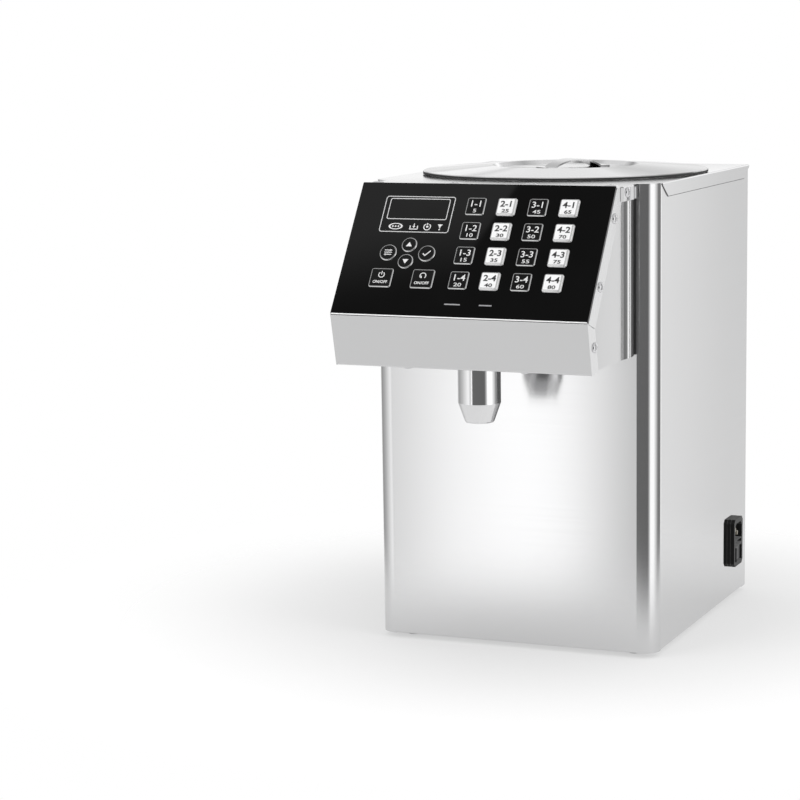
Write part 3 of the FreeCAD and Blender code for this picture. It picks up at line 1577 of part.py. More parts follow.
def power_inlet():
    """Inlet housing: three layers outside the sheet, a body inside, socket, fuse slot and rocker's well."""
    full = octagon(inlet_width, inlet_height, inlet_chamfer)
    small = octagon(inlet_width - 2 * inlet_step, inlet_height - 2 * inlet_step, inlet_chamfer)
    parts = [across_inlet(full, None, 0.0, inlet_layer)]
    parts.append(across_inlet(small, None, inlet_layer, inlet_proud - inlet_step))
    second = inlet_layer + inlet_groove
    third = inlet_proud - inlet_layer
    parts.append(across_inlet(full, None, second, third - inlet_groove))
    parts.append(across_inlet(full, None, third, inlet_proud))
    w, h = inlet_width - 2 * inlet_body_inset, inlet_height - 2 * inlet_body_inset
    points, radii = rounded_rectangle(w, h, inlet_body_corner)
    parts.append(across_inlet(points, radii, -inlet_body_depth, 0.5))
    body = fused(parts)
    w, h = socket_width / 2, socket_height / 2
    m = socket_middle()
    mouth = [(-w, m - h), (w, m - h), (w, m + h - socket_corner), (w - socket_corner, m + h)]
    mouth += [(-w + socket_corner, m + h), (-w, m + h - socket_corner)]
    body = body.cut(across_inlet(mouth, None, inlet_proud - socket_depth, inlet_proud + 1))
    slot_top = m - h - fuse_slot_gap
    slot = across_inlet(
        rounded_rectangle(fuse_slot_width, fuse_slot_height, 0, 0, slot_top - fuse_slot_height / 2)[0],
        None,
        inlet_proud - fuse_slot_depth,
        inlet_proud + 1,
    )
    body = body.cut(slot)
    w = rocker_width / 2 + rocker_gap
    h = rocker_height / 2 + rocker_gap
    m = rocker_middle()
    well = [(-w, m - h), (w, m - h), (w, m + h), (-w, m + h)]
    body = body.cut(across_inlet(well, None, inlet_proud - rocker_depth - rocker_swing_room, inlet_proud + 1))
    x, y, z = inlet_centre()
    pivot = rod(
        rocker_pin_radius + rocker_pin_gap,
        (rocker_axis_x, y, z + m - h - rocker_pivot_seat),
        (rocker_axis_x, y, z + m + h + rocker_pivot_seat),
    )
    body = body.cut(pivot)
    floor = inlet_proud - socket_depth
    pins = [across_inlet(p, None, -inlet_body_depth - 1, floor + 1) for p in pin_plans()]
    return body.cut(Part.makeCompound(pins))


def pin_plans():
    """Outlines of the three contact pins on the socket's floor."""
    floor = socket_middle() - socket_height / 2
    low = floor + pin_row_low
    plans = []
    for a, b in ((-pin_spacing, low), (pin_spacing, low), (0.0, low + pin_offset)):
        w, h = pin_thickness / 2, pin_width / 2
        plans.append([(a - w, b - h), (a + w, b - h), (a + w, b + h), (a - w, b + h)])
    return plans


def inlet_pins():
    """Three contact blades with their tails behind the body."""
    x1 = inlet_proud - socket_depth + pin_length
    x0 = -inlet_body_depth - pin_tail
    return Part.makeCompound([across_inlet(p, None, x0, x1) for p in pin_plans()])


def rocker_switch():
    """Rocker on an upright pivot, stored tipped to its off side."""
    x, y, z = inlet_centre()
    m = z + rocker_middle()
    w = rocker_width / 2
    face = side_x + inlet_proud - rocker_sunk
    end = face - rocker_flank
    back = rocker_axis_x - rocker_back
    b = rocker_back_half
    P = lambda px, py: V(px, py, m - rocker_height / 2)
    edges = [
        Part.LineSegment(P(back, y - b), P(end, y - w)).toShape(),
        Part.LineSegment(P(end, y - w), P(face, y - w)).toShape(),
        Part.Arc(P(face, y - w), P(face - rocker_dish, y), P(face, y + w)).toShape(),
        Part.LineSegment(P(face, y + w), P(end, y + w)).toShape(),
        Part.LineSegment(P(end, y + w), P(back, y + b)).toShape(),
        Part.LineSegment(P(back, y + b), P(back, y - b)).toShape(),
    ]
    body = Part.Face(Part.Wire(edges)).extrude(V(0, 0, rocker_height))
    reach = rocker_height / 2 + rocker_gap + rocker_pivot_seat - rocker_pivot_slack
    pivot = rod(rocker_pin_radius, (rocker_axis_x, y, m - reach), (rocker_axis_x, y, m + reach))
    rocker = fused([body, pivot])
    rocker.rotate(V(rocker_axis_x, y, 0), V(0, 0, 1), rocker_angle)
    return rocker


def power_supply():
    """Metal-cased supply on the base plate, with a terminal block along one end."""
    x0 = -(motor_radius + bracket_side_gap + bracket_sheet)
    y0 = pump_y + pump_half_y + bracket_width / 2 + supply_gap
    z0 = base_top_z
    case = box(x0, x0 + supply_width, y0, y0 + supply_length, z0, z0 + supply_height)
    ledge_z = z0 + terminal_ledge_height
    x1 = x0 + supply_width + 1
    case = case.cut(box(x0 - 1, x1, y0 - 1, y0 + terminal_ledge, ledge_z, z0 + supply_height + 1))
    inset = (terminal_ledge - terminal_depth) / 2
    posts = []
    for i in range(terminal_count):
        x = x0 + terminal_inset + i * terminal_pitch
        y = y0 + inset
        top = ledge_z + terminal_height
        posts.append(box(x, x + terminal_width, y, y + terminal_depth, ledge_z - 1, top))
    return fused([case] + posts)


def casing_screws():
    """Pan-head screws that hold the casing together."""
    return Part.makeCompound([screw(screw_head_radius, screw_head_height, *seat) for seat in casing_seats])


def strip_screws():
    """Wide-head screws along the head's top strip."""
    return Part.makeCompound([screw(strip_head_radius, strip_head_height, *seat) for seat in strip_seats])


# ---- All sub-parts ---------------------------------------------------------
def build():
    """Every sub-part by name."""
    right = head_side_right()
    parts = {
        "cabinet_shell": cabinet_shell(),
        "top_cover": top_cover(),
        "rear_cover": rear_cover(),
        "base_plate": base_plate(),
        "rubber_feet": rubber_feet(),
        "head_fascia": head_fascia(),
        "head_side_right": right,
        "head_side_left": mirrored(right),
        "head_floor": head_floor(),
        "keypad_panel": keypad_panel(),
        "display_window": display_window(),
        "indicator_lights": indicator_lights(),
        "display_module": display_module(),
        "control_board": control_board(),
        "key_switches": key_switches(),
        "nozzle_body": nozzle_body(),
        "nozzle_connector": nozzle_connector(),
        "nozzle_nut": nozzle_nut(),
        "tank": tank(),
        "tank_seal": tank_seal(),
        "tank_heater": tank_heater(),
        "lid": lid(),
        "lid_handle": lid_handle(),
        "outlet_fitting": outlet_fitting(),
        "suction_hose": suction_hose(),
        "delivery_hose": delivery_hose(),
        "pump_body": pump_body(),
        "pump_cover": pump_cover(),
        "pump_motor": pump_motor(),
        "pump_bracket": pump_bracket(),
        "drive_gear": drive_gear(),
        "driven_gear": driven_gear(),
        "power_inlet": power_inlet(),
        "inlet_pins": inlet_pins(),
        "rocker_switch": rocker_switch(),
        "power_supply": power_supply(),
        "casing_screws": casing_screws(),
        "strip_screws": strip_screws(),
    }
    for name, across, down, face in key_table():
        parts[name] = key(across, down, face)
    return parts


os.makedirs("parts", exist_ok=True)
for name, shape in build().items():
    shape.exportStep("parts/%s.step" % name)
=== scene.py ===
import json
from math import cos, pi, radians, sin, sqrt

import bpy
from mathutils import Matrix, Vector


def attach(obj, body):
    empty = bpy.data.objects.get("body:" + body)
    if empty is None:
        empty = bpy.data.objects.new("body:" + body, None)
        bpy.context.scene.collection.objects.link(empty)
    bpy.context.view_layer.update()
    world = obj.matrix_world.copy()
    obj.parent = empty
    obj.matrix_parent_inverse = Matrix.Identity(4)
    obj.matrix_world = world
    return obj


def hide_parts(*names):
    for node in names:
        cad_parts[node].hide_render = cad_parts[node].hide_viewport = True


# Looks of the counter-top fructose dispenser. The object's sizes are in millimetres; those of the camera,
# the lamps and the floor are in metres, as Blender works.

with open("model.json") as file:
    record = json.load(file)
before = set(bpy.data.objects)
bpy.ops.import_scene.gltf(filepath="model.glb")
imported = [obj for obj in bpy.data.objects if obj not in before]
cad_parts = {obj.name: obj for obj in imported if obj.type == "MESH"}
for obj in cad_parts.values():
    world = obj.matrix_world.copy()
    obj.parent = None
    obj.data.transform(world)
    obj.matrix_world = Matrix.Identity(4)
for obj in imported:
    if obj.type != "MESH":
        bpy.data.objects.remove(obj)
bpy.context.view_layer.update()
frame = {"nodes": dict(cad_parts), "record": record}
MM = 0.001
NODES = frame["nodes"]
CASING = "casing"

# ---- Places shared with the solids -----------------------------------------
TILT = radians(35.0)                        # the keypad leans back from upright by this
PANEL_TOP = (-214.0575, 443.7207)           # y and z of the keypad's upper edge
KEY_PROUD = 0.9                             # a key's face stands this far above the keypad
KEY_EDGE = 0.6                              # chamfer round a key's face
KEY_CORNER = 2.2
KEY_SIZE = (18.0, 18.0)
WIDE_KEY = (21.4, 19.3)
FIRST_KEY = (-6.0, 23.6)                    # x, and distance down from the keypad's upper edge
KEY_PITCH = (29.6, 25.3)
ROUND_KEYS = {                              # x, distance down, radius
    "key_up": (-61.3, 64.7, 7.4),
    "key_down": (-61.3, 81.7, 7.4),
    "key_set": (-80.05, 73.2, 8.2),
    "key_save": (-42.55, 73.2, 8.2),
}
WIDE_KEYS = {"key_power": (-80.9, 99.2), "key_continuous": (-40.7, 99.2)}
WINDOW = (-61.0, 27.25, 57.2, 20.4)         # x, distance down, width, height
LID_CENTRE = (0.0, -5.0)
SIDE_FACE = 140.0                           # x of the cabinet's side
FRONT_FACE = -156.0                         # y of the cabinet's front

# ---- Camera ----------------------------------------------------------------
CAMERA_PLACE = (0.81574, -2.29585, 0.59113)
CAMERA_YAW = radians(21.629)
CAMERA_PITCH = radians(9.484)
CAMERA_ROLL = radians(-0.582)
CAMERA_LENS = 111.47
CAMERA_SENSOR = 36.0
CAMERA_SHIFT = (-0.1, 0.04)
CAMERA_CLIP = (0.05, 100.0)
CAMERA_FORWARD = Vector((
    -sin(CAMERA_YAW) * cos(CAMERA_PITCH),
    cos(CAMERA_YAW) * cos(CAMERA_PITCH),
    -sin(CAMERA_PITCH),
))


def add_camera():
    """The photograph's viewpoint."""
    level = Vector((cos(CAMERA_YAW), sin(CAMERA_YAW), 0.0))
    upright = level.cross(CAMERA_FORWARD)
    right = level * cos(CAMERA_ROLL) + upright * sin(CAMERA_ROLL)
    up = upright * cos(CAMERA_ROLL) - level * sin(CAMERA_ROLL)
    data = bpy.data.cameras.new("camera")
    data.sensor_width = CAMERA_SENSOR
    data.lens = CAMERA_LENS
    data.shift_x, data.shift_y = CAMERA_SHIFT
    data.clip_start, data.clip_end = CAMERA_CLIP
    camera = bpy.data.objects.new("camera", data)
    turn = Matrix((right, up, -CAMERA_FORWARD)).transposed().to_4x4()
    camera.matrix_world = Matrix.Translation(CAMERA_PLACE) @ turn
    bpy.context.scene.collection.objects.link(camera)
    bpy.context.scene.camera = camera


# ---- Shader nodes ----------------------------------------------------------
def fill(links, socket, value):
    """Gives a socket its value: another node's output, or a plain number, vector or colour."""
    if isinstance(value, bpy.types.NodeSocket):
        links.new(value, socket)
    else:
        socket.default_value = value


def object_place(nodes):
    """The place on the object, in metres."""
    return nodes.new("ShaderNodeTexCoord").outputs["Object"]


def parts_of(nodes, links, vector):
    """A vector's X, Y and Z."""
    node = nodes.new("ShaderNodeSeparateXYZ")
    links.new(vector, node.inputs["Vector"])
    return node.outputs


def calculate(nodes, links, operation, *values):
    """One sum of two or three values, each a socket or a number."""
    node = nodes.new("ShaderNodeMath")
    node.operation = operation
    for socket, value in zip(node.inputs, values):
        fill(links, socket, value)
    return node.outputs[0]


def calculate_vector(nodes, links, operation, *values):
    """The same for vectors. A length or a dot product comes out as a number."""
    node = nodes.new("ShaderNodeVectorMath")
    node.operation = operation
    for socket, value in zip(node.inputs, values):
        fill(links, socket, value)
    return node.outputs["Value" if operation in ("LENGTH", "DOT_PRODUCT") else "Vector"]


def map_range(nodes, links, value, source, target=(0.0, 1.0), smooth=False):
    """One range mapped to another, and held at its ends."""
    node = nodes.new("ShaderNodeMapRange")
    if smooth:
        node.interpolation_type = "SMOOTHSTEP"
    for socket, limit in zip(("From Min", "From Max", "To Min", "To Max"), (*source, *target)):
        node.inputs[socket].default_value = limit
    links.new(value, node.inputs["Value"])
    return node.outputs["Result"]


def ramp(nodes, links, value, stops):
    """A grey level by a value of 0..1."""
    node = nodes.new("ShaderNodeValToRGB")
    elements = node.color_ramp.elements
    elements[0].position, elements[1].position = stops[0][0], stops[-1][0]
    for place, _ in stops[1:-1]:
        elements.new(place)
    for element, (_, level) in zip(elements, stops):
        element.color = (level, level, level, 1.0)
    links.new(value, node.inputs["Fac"])
    return node.outputs["Color"]


def by_angle(nodes, links, right, front, table, scale=1.0):
    """A grey level by the angle from straight in front, in degrees and growing to the right."""
    angle = calculate(nodes, links, "ARCTAN2", right, front)
    share = map_range(nodes, links, angle, (-pi, pi))
    return ramp(nodes, links, share, [((degrees + 180) / 360, level * scale) for degrees, level in table])


def blend(nodes, links, share, first, second, kind="FLOAT"):
    """From one level or colour to another."""
    node = nodes.new("ShaderNodeMix")
    node.data_type = kind
    for socket, value in (("Factor", share), ("A", first), ("B", second)):
        fill(links, node.inputs[socket], value)
    return node.outputs["Result"]


def blend_shaders(nodes, links, share, first, second):
    """From one surface or background to another."""
    node = nodes.new("ShaderNodeMixShader")
    for socket, value in zip(node.inputs, (share, first, second)):
        links.new(value, socket)
    return node.outputs[0]


def noise(nodes, links, scale, stretch=(1.0, 1.0, 1.0), detail=3.0, vector=None):
    """Noise in object space or over a given vector, stretched along some axes."""
    if vector is None:
        vector = object_place(nodes)
    mapping = nodes.new("ShaderNodeMapping")
    mapping.inputs["Scale"].default_value = stretch
    links.new(vector, mapping.inputs["Vector"])
    texture = nodes.new("ShaderNodeTexNoise")
    texture.inputs["Scale"].default_value = scale
    texture.inputs["Detail"].default_value = detail
    links.new(mapping.outputs["Vector"], texture.inputs["Vector"])
    return texture.outputs["Fac"]


# ---- Materials -------------------------------------------------------------
NOISE_MIDDLE = (0.3, 0.7)                   # most of a noise's values lie between these
STEEL_LINES = (4.0, 4.0, 700.0)             # brushing: changes to a metre along each axis
SPUN_LINES = (1400.0, 1.0, 1.0)             # the same outwards from the lid's middle
LINE_DETAIL = 5.0
BRUSHED = 0.9                               # anisotropy of the brushed sheets
BRUSH_TURN = 0.25
STEEL_CLOUD = 9.0                           # changes to a metre in the sheet's slow unevenness
STEEL_CLOUD_DETAIL = 4.0
STEEL_DULLER = 0.985                        # share of the base colour where the sheet is darkest
STEEL_ROUGHER = (0.95, 1.05)                # shares of the roughness between which it varies
STEEL_RELIEF = (0.006, 0.0002)              # strength, and depth in metres
PLASTIC_CLOUD = 25.0
PLASTIC_ROUGHER = (0.90, 1.12)
PLASTIC_DEPTH = 0.0001
GRAIN_DETAIL = 2.0
GLASS_CLOUD = 40.0
GLASS_ROUGHNESS = (0.04, 0.07)
# painted shade: the colour that what looks down under the handle's arch is darkened to
UNDERSIDE_SHADE = (0.03, 0.03, 0.03, 1.0)
UNDERSIDE_TURN = (-0.5, 0.1)                # upward part of the normal over which the painted shade of the underside ends

# Painted reflection on the lid: grey wedges in its base colour, standing in for what its ring brushing would
# mirror. How bright by the angle about the lid's middle, 0 at the front and growing to the right.
PAINTED_FAN_WEDGES = (
    (-180, 1.0), (-140, 1.0), (-124, 0.62), (-104, 0.98), (-88, 0.92), (-78, 0.42), (-54, 0.40), (-45, 0.98),
    (-30, 1.0), (-21, 0.72), (-12, 1.0), (42, 1.0), (50, 0.74), (62, 0.50), (106, 0.42), (130, 0.52),
    (142, 1.0), (180, 1.0),
)
STEELS = {
    "cabinet_steel": dict(base=(0.66, 0.66, 0.664), roughness=0.13, anisotropy=BRUSHED),
    "head_steel": dict(base=(0.62, 0.62, 0.624), roughness=0.13, anisotropy=BRUSHED),
    "fascia_steel": dict(base=(0.67, 0.67, 0.674), roughness=0.18),
    "plain_steel": dict(base=(0.55, 0.55, 0.56), roughness=0.42),
    "tank_steel": dict(base=(0.70, 0.70, 0.70), roughness=0.30),
    # the lid's steel also takes painted reflection wedges in its base colour
    "lid_steel": dict(base=(0.92, 0.92, 0.925), roughness=0.20, anisotropy=BRUSHED, spun_and_painted_fan=True),
    "handle_steel": dict(base=(0.60, 0.60, 0.605), roughness=0.12),
    "nozzle_steel": dict(base=(0.74, 0.74, 0.745), roughness=0.10),
    "fitting_steel": dict(base=(0.62, 0.62, 0.63), roughness=0.26),
    "pump_steel": dict(base=(0.58, 0.58, 0.59), roughness=0.34),
    "screw_steel": dict(base=(0.74, 0.74, 0.75), roughness=0.20),
    "pin_brass": dict(base=(0.34, 0.31, 0.25), roughness=0.34),
    "supply_metal": dict(base=(0.62, 0.62, 0.62), roughness=0.40),
    "key_rim": dict(base=(0.66, 0.66, 0.66), roughness=0.16),
}
PLASTICS = {
    "rubber": dict(base=(0.022, 0.022, 0.022), roughness=0.70, fleck=0.012, relief=0.2),
    "seal_silicone": dict(base=(0.74, 0.74, 0.72), roughness=0.55),
    "hose_silicone": dict(base=(0.74, 0.74, 0.70), roughness=0.38),
    "heater_pad": dict(base=(0.50, 0.16, 0.07), roughness=0.60, fleck=0.02),
    "panel_gloss": dict(
        base=(0.003, 0.003, 0.003), roughness=0.018, fleck=0.0006, scale=300.0, relief=0.001,
    ),
    "light_lens": dict(base=(0.30, 0.30, 0.31), roughness=0.20, fleck=0.03),
    "display_body": dict(base=(0.010, 0.010, 0.010), roughness=0.50, fleck=0.004),
    "board_green": dict(base=(0.02, 0.13, 0.05), roughness=0.40, fleck=0.02),
    "switch_black": dict(base=(0.02, 0.02, 0.02), roughness=0.50, fleck=0.006),
    "key_black": dict(base=(0.0045, 0.0045, 0.0045), roughness=0.16, fleck=0.001, scale=700.0, relief=0.02),
    "key_silver": dict(base=(0.90, 0.90, 0.90), roughness=0.24, fleck=0.02, relief=0.01, metallic=0.15),
    # painted shade: a darker, more mirror-like copy of the silver for the caps' sloping edges, so they read
    # grey; the rest of their darkness is real reflection
    "key_edge_painted_shade": dict(base=(0.66, 0.66, 0.66), roughness=0.22, fleck=0.02, relief=0.01, metallic=0.85),
    "gear_plastic": dict(base=(0.70, 0.62, 0.46), roughness=0.42, fleck=0.03),
    "motor_black": dict(base=(0.022, 0.022, 0.024), roughness=0.38, fleck=0.006),
    "inlet_black": dict(
        base=(0.006, 0.006, 0.006), roughness=0.38, fleck=0.003, scale=1200.0, relief=0.12,
        Specular_IOR_Level=0.14,
    ),
    "rocker_gloss": dict(
        base=(0.022, 0.022, 0.023), roughness=0.42, fleck=0.004, scale=500.0, relief=0.01,
        Specular_IOR_Level=0.12,
    ),
    # painted shade: dark strips laid where the gaps between sheets lie in shade
    "gap_painted_shade": dict(base=(0.03, 0.03, 0.03), roughness=0.85, fleck=0.01),
    "print_white": dict(base=(0.66, 0.66, 0.66), roughness=0.45, fleck=0.04),
    "print_dark": dict(base=(0.02, 0.02, 0.02), roughness=0.50, fleck=0.01),
    "print_line": dict(base=(0.52, 0.52, 0.52), roughness=0.40, fleck=0.06),
}

# The brushed side is too dull in the photograph to mirror these.
DULL_STEEL_SKIPS = ("power_inlet", "inlet_pins", "rocker_switch")


def new_material(name, color, roughness, metallic=0.0, **sockets):
    """A Principled material; uniform values go straight on its sockets."""
    material = bpy.data.materials.new(name)
    material.use_nodes = True
    nodes = material.node_tree.nodes
    shader = nodes["Principled BSDF"]
    shader.inputs["Base Color"].default_value = (*color, 1.0)
    shader.inputs["Roughness"].default_value = roughness
    shader.inputs["Metallic"].default_value = metallic
    for socket, value in sockets.items():
        shader.inputs[socket.replace("_", " ")].default_value = value
    return material, nodes, material.node_tree.links, shader


def tint(nodes, links, shader, value, dark, light):
    """The base colour run from dark to light by a value."""
    color = blend(nodes, links, value, (*dark, 1.0), (*light, 1.0), "RGBA")
    links.new(color, shader.inputs["Base Color"])


def vary_roughness(nodes, links, shader, value, low, high):
    """The roughness run from low to high by a noise."""
    links.new(map_range(nodes, links, value, NOISE_MIDDLE, (low, high)), shader.inputs["Roughness"])


def bump(nodes, links, shader, height, strength, depth):
    """Relief from a height."""
    node = nodes.new("ShaderNodeBump")
    node.inputs["Strength"].default_value = strength
    node.inputs["Distance"].default_value = depth
    links.new(height, node.inputs["Height"])
    links.new(node.outputs["Normal"], shader.inputs["Normal"])


def from_lid_centre(nodes, links):
    """Distance from the lid's middle, as a vector along one axis."""
    middle = (LID_CENTRE[0] * MM, LID_CENTRE[1] * MM, 0.0)
    shifted = calculate_vector(nodes, links, "SUBTRACT", object_place(nodes), middle)
    flat = calculate_vector(nodes, links, "MULTIPLY", shifted, (1.0, 1.0, 0.0))
    joined = nodes.new("ShaderNodeCombineXYZ")
    links.new(calculate_vector(nodes, links, "LENGTH", flat), joined.inputs["X"])
    return joined.outputs["Vector"]


def add_painted_fan_wedges(nodes, links, shader, base):
    """Painted reflection: the base colour darkened in wedges by the angle about the lid's middle."""
    place = parts_of(nodes, links, object_place(nodes))
    front = calculate(nodes, links, "SUBTRACT", LID_CENTRE[1] * MM, place["Y"])
    tint(nodes, links, shader, by_angle(nodes, links, place["X"], front, PAINTED_FAN_WEDGES), (0.0, 0.0, 0.0), base)


def steel(name, base, roughness, anisotropy=0.0, spun_and_painted_fan=False):
    """Stainless sheet with fine brushing: level lines, or rings about the lid's middle with painted
    reflection wedges.
    """
    material, nodes, links, shader = new_material(
        name, base, roughness, 1.0, Anisotropic=anisotropy, Anisotropic_Rotation=BRUSH_TURN
    )
    if anisotropy:
        tangent = nodes.new("ShaderNodeTangent")
        tangent.direction_type = "RADIAL"
        tangent.axis = "Z"
        links.new(tangent.outputs["Tangent"], shader.inputs["Tangent"])
    if spun_and_painted_fan:
        lines = noise(nodes, links, 1.0, SPUN_LINES, LINE_DETAIL, from_lid_centre(nodes, links))
        # painted reflection: grey wedges in the base colour
        add_painted_fan_wedges(nodes, links, shader, base)
    else:
        lines = noise(nodes, links, 1.0, STEEL_LINES, LINE_DETAIL)
        cloud = noise(nodes, links, STEEL_CLOUD, detail=STEEL_CLOUD_DETAIL)
        share = map_range(nodes, links, cloud, NOISE_MIDDLE)
        tint(nodes, links, shader, share, [c * STEEL_DULLER for c in base], base)
    vary_roughness(nodes, links, shader, lines, *(roughness * share for share in STEEL_ROUGHER))
    bump(nodes, links, shader, lines, *STEEL_RELIEF)
    return material


def shade_underside(material):
    """Painted shade: darkens the base colour of what looks down, as the inside of a polished arch looks dark.
    """
    nodes, links = material.node_tree.nodes, material.node_tree.links
    base = nodes["Principled BSDF"].inputs["Base Color"]
    normal = parts_of(nodes, links, nodes.new("ShaderNodeNewGeometry").outputs["Normal"])
    upward = map_range(nodes, links, normal["Z"], UNDERSIDE_TURN, smooth=True)
    links.new(blend(nodes, links, upward, UNDERSIDE_SHADE, base.links[0].from_socket, "RGBA"), base)


def plastic(name, base, roughness, fleck=0.0, scale=900.0, relief=0.05, **sockets):
    """Moulded plastic, rubber or print with a fine texture."""
    material, nodes, links, shader = new_material(name, base, roughness, **sockets)
    grain = noise(nodes, links, scale, detail=GRAIN_DETAIL)
    cloud = noise(nodes, links, PLASTIC_CLOUD)
    light = [min(1.0, c + fleck) for c in base]
    tint(nodes, links, shader, map_range(nodes, links, cloud, NOISE_MIDDLE), base, light)
    vary_roughness(nodes, links, shader, cloud, *(roughness * share for share in PLASTIC_ROUGHER))
    bump(nodes, links, shader, grain, relief, PLASTIC_DEPTH)
    return material


def window_glass():
    """The dark glass of the display, a little uneven in its polish."""
    material, nodes, links, shader = new_material("window_glass", (0.004, 0.004, 0.004), 0.05)
    vary_roughness(nodes, links, shader, noise(nodes, links, GLASS_CLOUD), *GLASS_ROUGHNESS)
    return material


def make_materials():
    """Every material by its name; those of the solids have the names of the record's slots."""
    made = {name: steel(name, **look) for name, look in STEELS.items()}
    made.update({name: plastic(name, **look) for name, look in PLASTICS.items()})
    made["window_glass"] = window_glass()
    shade_underside(made["handle_steel"])
    return made


def dress_nodes():
    """Each carried-over CAD node takes the material of its slot."""
    slots = {part["node"]: part["material_slot"] for part in frame["record"]["subparts"]}
    for name, node in NODES.items():
        node.data.materials.clear()
        node.data.materials.append(MATERIALS[slots[name]])
    for name in DULL_STEEL_SKIPS:
        NODES[name].visible_glossy = False


# ---- Shapes ----------------------------------------------------------------
CORNER_STEPS = 6
ARC_STEPS = 28
LEAST_CORNER = 0.4
LETTER_CURVE = 3                            # steps in a letter's curves


def panel_matrix():
    """Lays x across, y up the slope and z outwards on the keypad's face."""
    s, c = sin(TILT), cos(TILT)
    turn = Matrix(((1, 0, 0), (0, s, -c), (0, c, s))).to_4x4()
    return Matrix.Translation((0, PANEL_TOP[0] * MM, PANEL_TOP[1] * MM)) @ turn @ Matrix.Scale(MM, 4)


ON_PANEL = panel_matrix()
IN_PLACE = Matrix.Scale(MM, 4)              # for shapes given in the part's own axes


def rounded_loop(x, y, width, height, corner):
    """A rounded rectangle about a middle, as points in order."""
    points = []
    for i, (sx, sy) in enumerate(((1, -1), (1, 1), (-1, 1), (-1, -1))):
        cx, cy = x + sx * (width / 2 - corner), y + sy * (height / 2 - corner)
        for step in range(CORNER_STEPS + 1):
            a = radians(-90 + 90 * i + 90 * step / CORNER_STEPS)
            points.append((cx + corner * cos(a), cy + corner * sin(a)))
    return points


def round_loop(x, y, radius, sides=48):
    """A circle, as points in order."""
    angles = [2 * pi * i / sides for i in range(sides)]
    return [(x + radius * cos(a), y + radius * sin(a)) for a in angles]


def face_loop(x, y, face, shrink):
    """The outline of a key's face, square or round, made smaller all round."""
    if isinstance(face, tuple):
        corner = max(KEY_CORNER - shrink, LEAST_CORNER)
        return rounded_loop(x, y, face[0] - 2 * shrink, face[1] - 2 * shrink, corner)
    return round_loop(x, y, face - shrink)


class Drawing:
    """Faces gathered from several shapes, then made into one mesh."""

    def __init__(self):
        self.points, self.faces = [], []

    def add(self, points, faces):
        """Points, and faces that count from the first of them."""
        start = len(self.points)
        self.points += points
        self.faces += [[start + i for i in face] for face in faces]

    def skin(self, loops, closed_top=False):
        """Quads between loops of the same length; each loop is points and their height."""
        count = len(loops[0][0])
        points = [(x, y, z) for loop, z in loops for x, y in loop]
        faces = []
        for k in range(len(loops) - 1):
            a, b = k * count, (k + 1) * count
            faces += [[a + i, a + (i + 1) % count, b + (i + 1) % count, b + i] for i in range(count)]
        if closed_top:
            faces.append(list(range((len(loops) - 1) * count, len(loops) * count)))
        self.add(points, faces)

    def patch(self, outline, z):
        """A flat face."""
        self.add([(x, y, z) for x, y in outline], [list(range(len(outline)))])

    def band(self, outer, inner, z):
        """A flat ring between two loops."""
        self.skin([(outer, z), (inner, z)])

    def arc(self, x, y, radius, width, start, end, z):
        """Part of a flat ring, angles in degrees."""
        angles = [radians(start + (end - start) * i / ARC_STEPS) for i in range(ARC_STEPS + 1)]
        low, high = radius - width / 2, radius + width / 2
        points = [(x + r * cos(a), y + r * sin(a), z) for a in angles for r in (low, high)]
        self.add(points, [[2 * i, 2 * i + 1, 2 * i + 3, 2 * i + 2] for i in range(ARC_STEPS)])

    def line(self, start, end, width, z):
        """A straight stroke."""
        (ax, ay), (bx, by) = start, end
        dx, dy = bx - ax, by - ay
        length = sqrt(dx * dx + dy * dy)
        nx, ny = -dy / length * width / 2, dx / length * width / 2
        self.patch([(ax - nx, ay - ny), (bx - nx, by - ny), (bx + nx, by + ny), (ax + nx, ay + ny)], z)

    def sign(self, name, x, y, z):
        """A sign of the table, about a middle."""
        for kind, *shape in SIGNS[name]:
            if kind == "face":
                self.patch([(x + px, y + py) for px, py in shape], z)
            elif kind == "line":
                (ax, ay), (bx, by), width = shape
                self.line((x + ax, y + ay), (x + bx, y + by), width, z)
            elif kind == "arc":
                (px, py), radius, width, start, end = shape
                self.arc(x + px, y + py, radius, width, start, end, z)
            else:
                (px, py), radius, sides = shape
                self.patch(round_loop(x + px, y + py, radius, sides), z)

    def words(self, text, height, x, y, z, wide=1.0, bold=0.02):
        """Characters about a middle, as tall as given."""
        curve = bpy.data.curves.new("words", "FONT")
        curve.body = text
        curve.align_x = "CENTER"
        curve.resolution_u = LETTER_CURVE
        curve.offset = bold
        holder = bpy.data.objects.new("words", curve)
        mesh = bpy.data.meshes.new_from_object(holder)
        low = min(v.co.y for v in mesh.vertices)
        high = max(v.co.y for v in mesh.vertices)
        scale = height / (high - low)
        middle = (low + high) / 2
        points = [(x + v.co.x * scale * wide, y + (v.co.y - middle) * scale, z) for v in mesh.vertices]
        self.add(points, [list(p.vertices) for p in mesh.polygons])
        bpy.data.objects.remove(holder)
        bpy.data.curves.remove(curve)
        bpy.data.meshes.remove(mesh)

    def make(self, name, material, body, place=ON_PANEL, smooth=None):
        """One piece that rides on a body; edges sharper than smooth, in degrees, stay sharp."""
        mesh = bpy.data.meshes.new(name)
        mesh.from_pydata(self.points, [], self.faces)
        mesh.transform(place)
        mesh.materials.append(MATERIALS[material])
        mesh.update()
        if smooth is not None:
            mesh.shade_smooth()
            mesh.set_sharp_from_angle(angle=radians(smooth))
        piece = bpy.data.objects.new(name, mesh)
        bpy.context.scene.collection.objects.link(piece)
        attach(piece, body)
        return piece


# ---- Keys ------------------------------------------------------------------
INK = 0.03                                  # print lies this far above its face
KEY_FOOT = KEY_PROUD - KEY_EDGE             # height of the lower edge of a key's chamfer
RIM_FLAT = 0.38                             # flat part of a black key's metal rim
RIM_TOP = KEY_EDGE + 0.03                   # top of the rim over the chamfer's lower edge

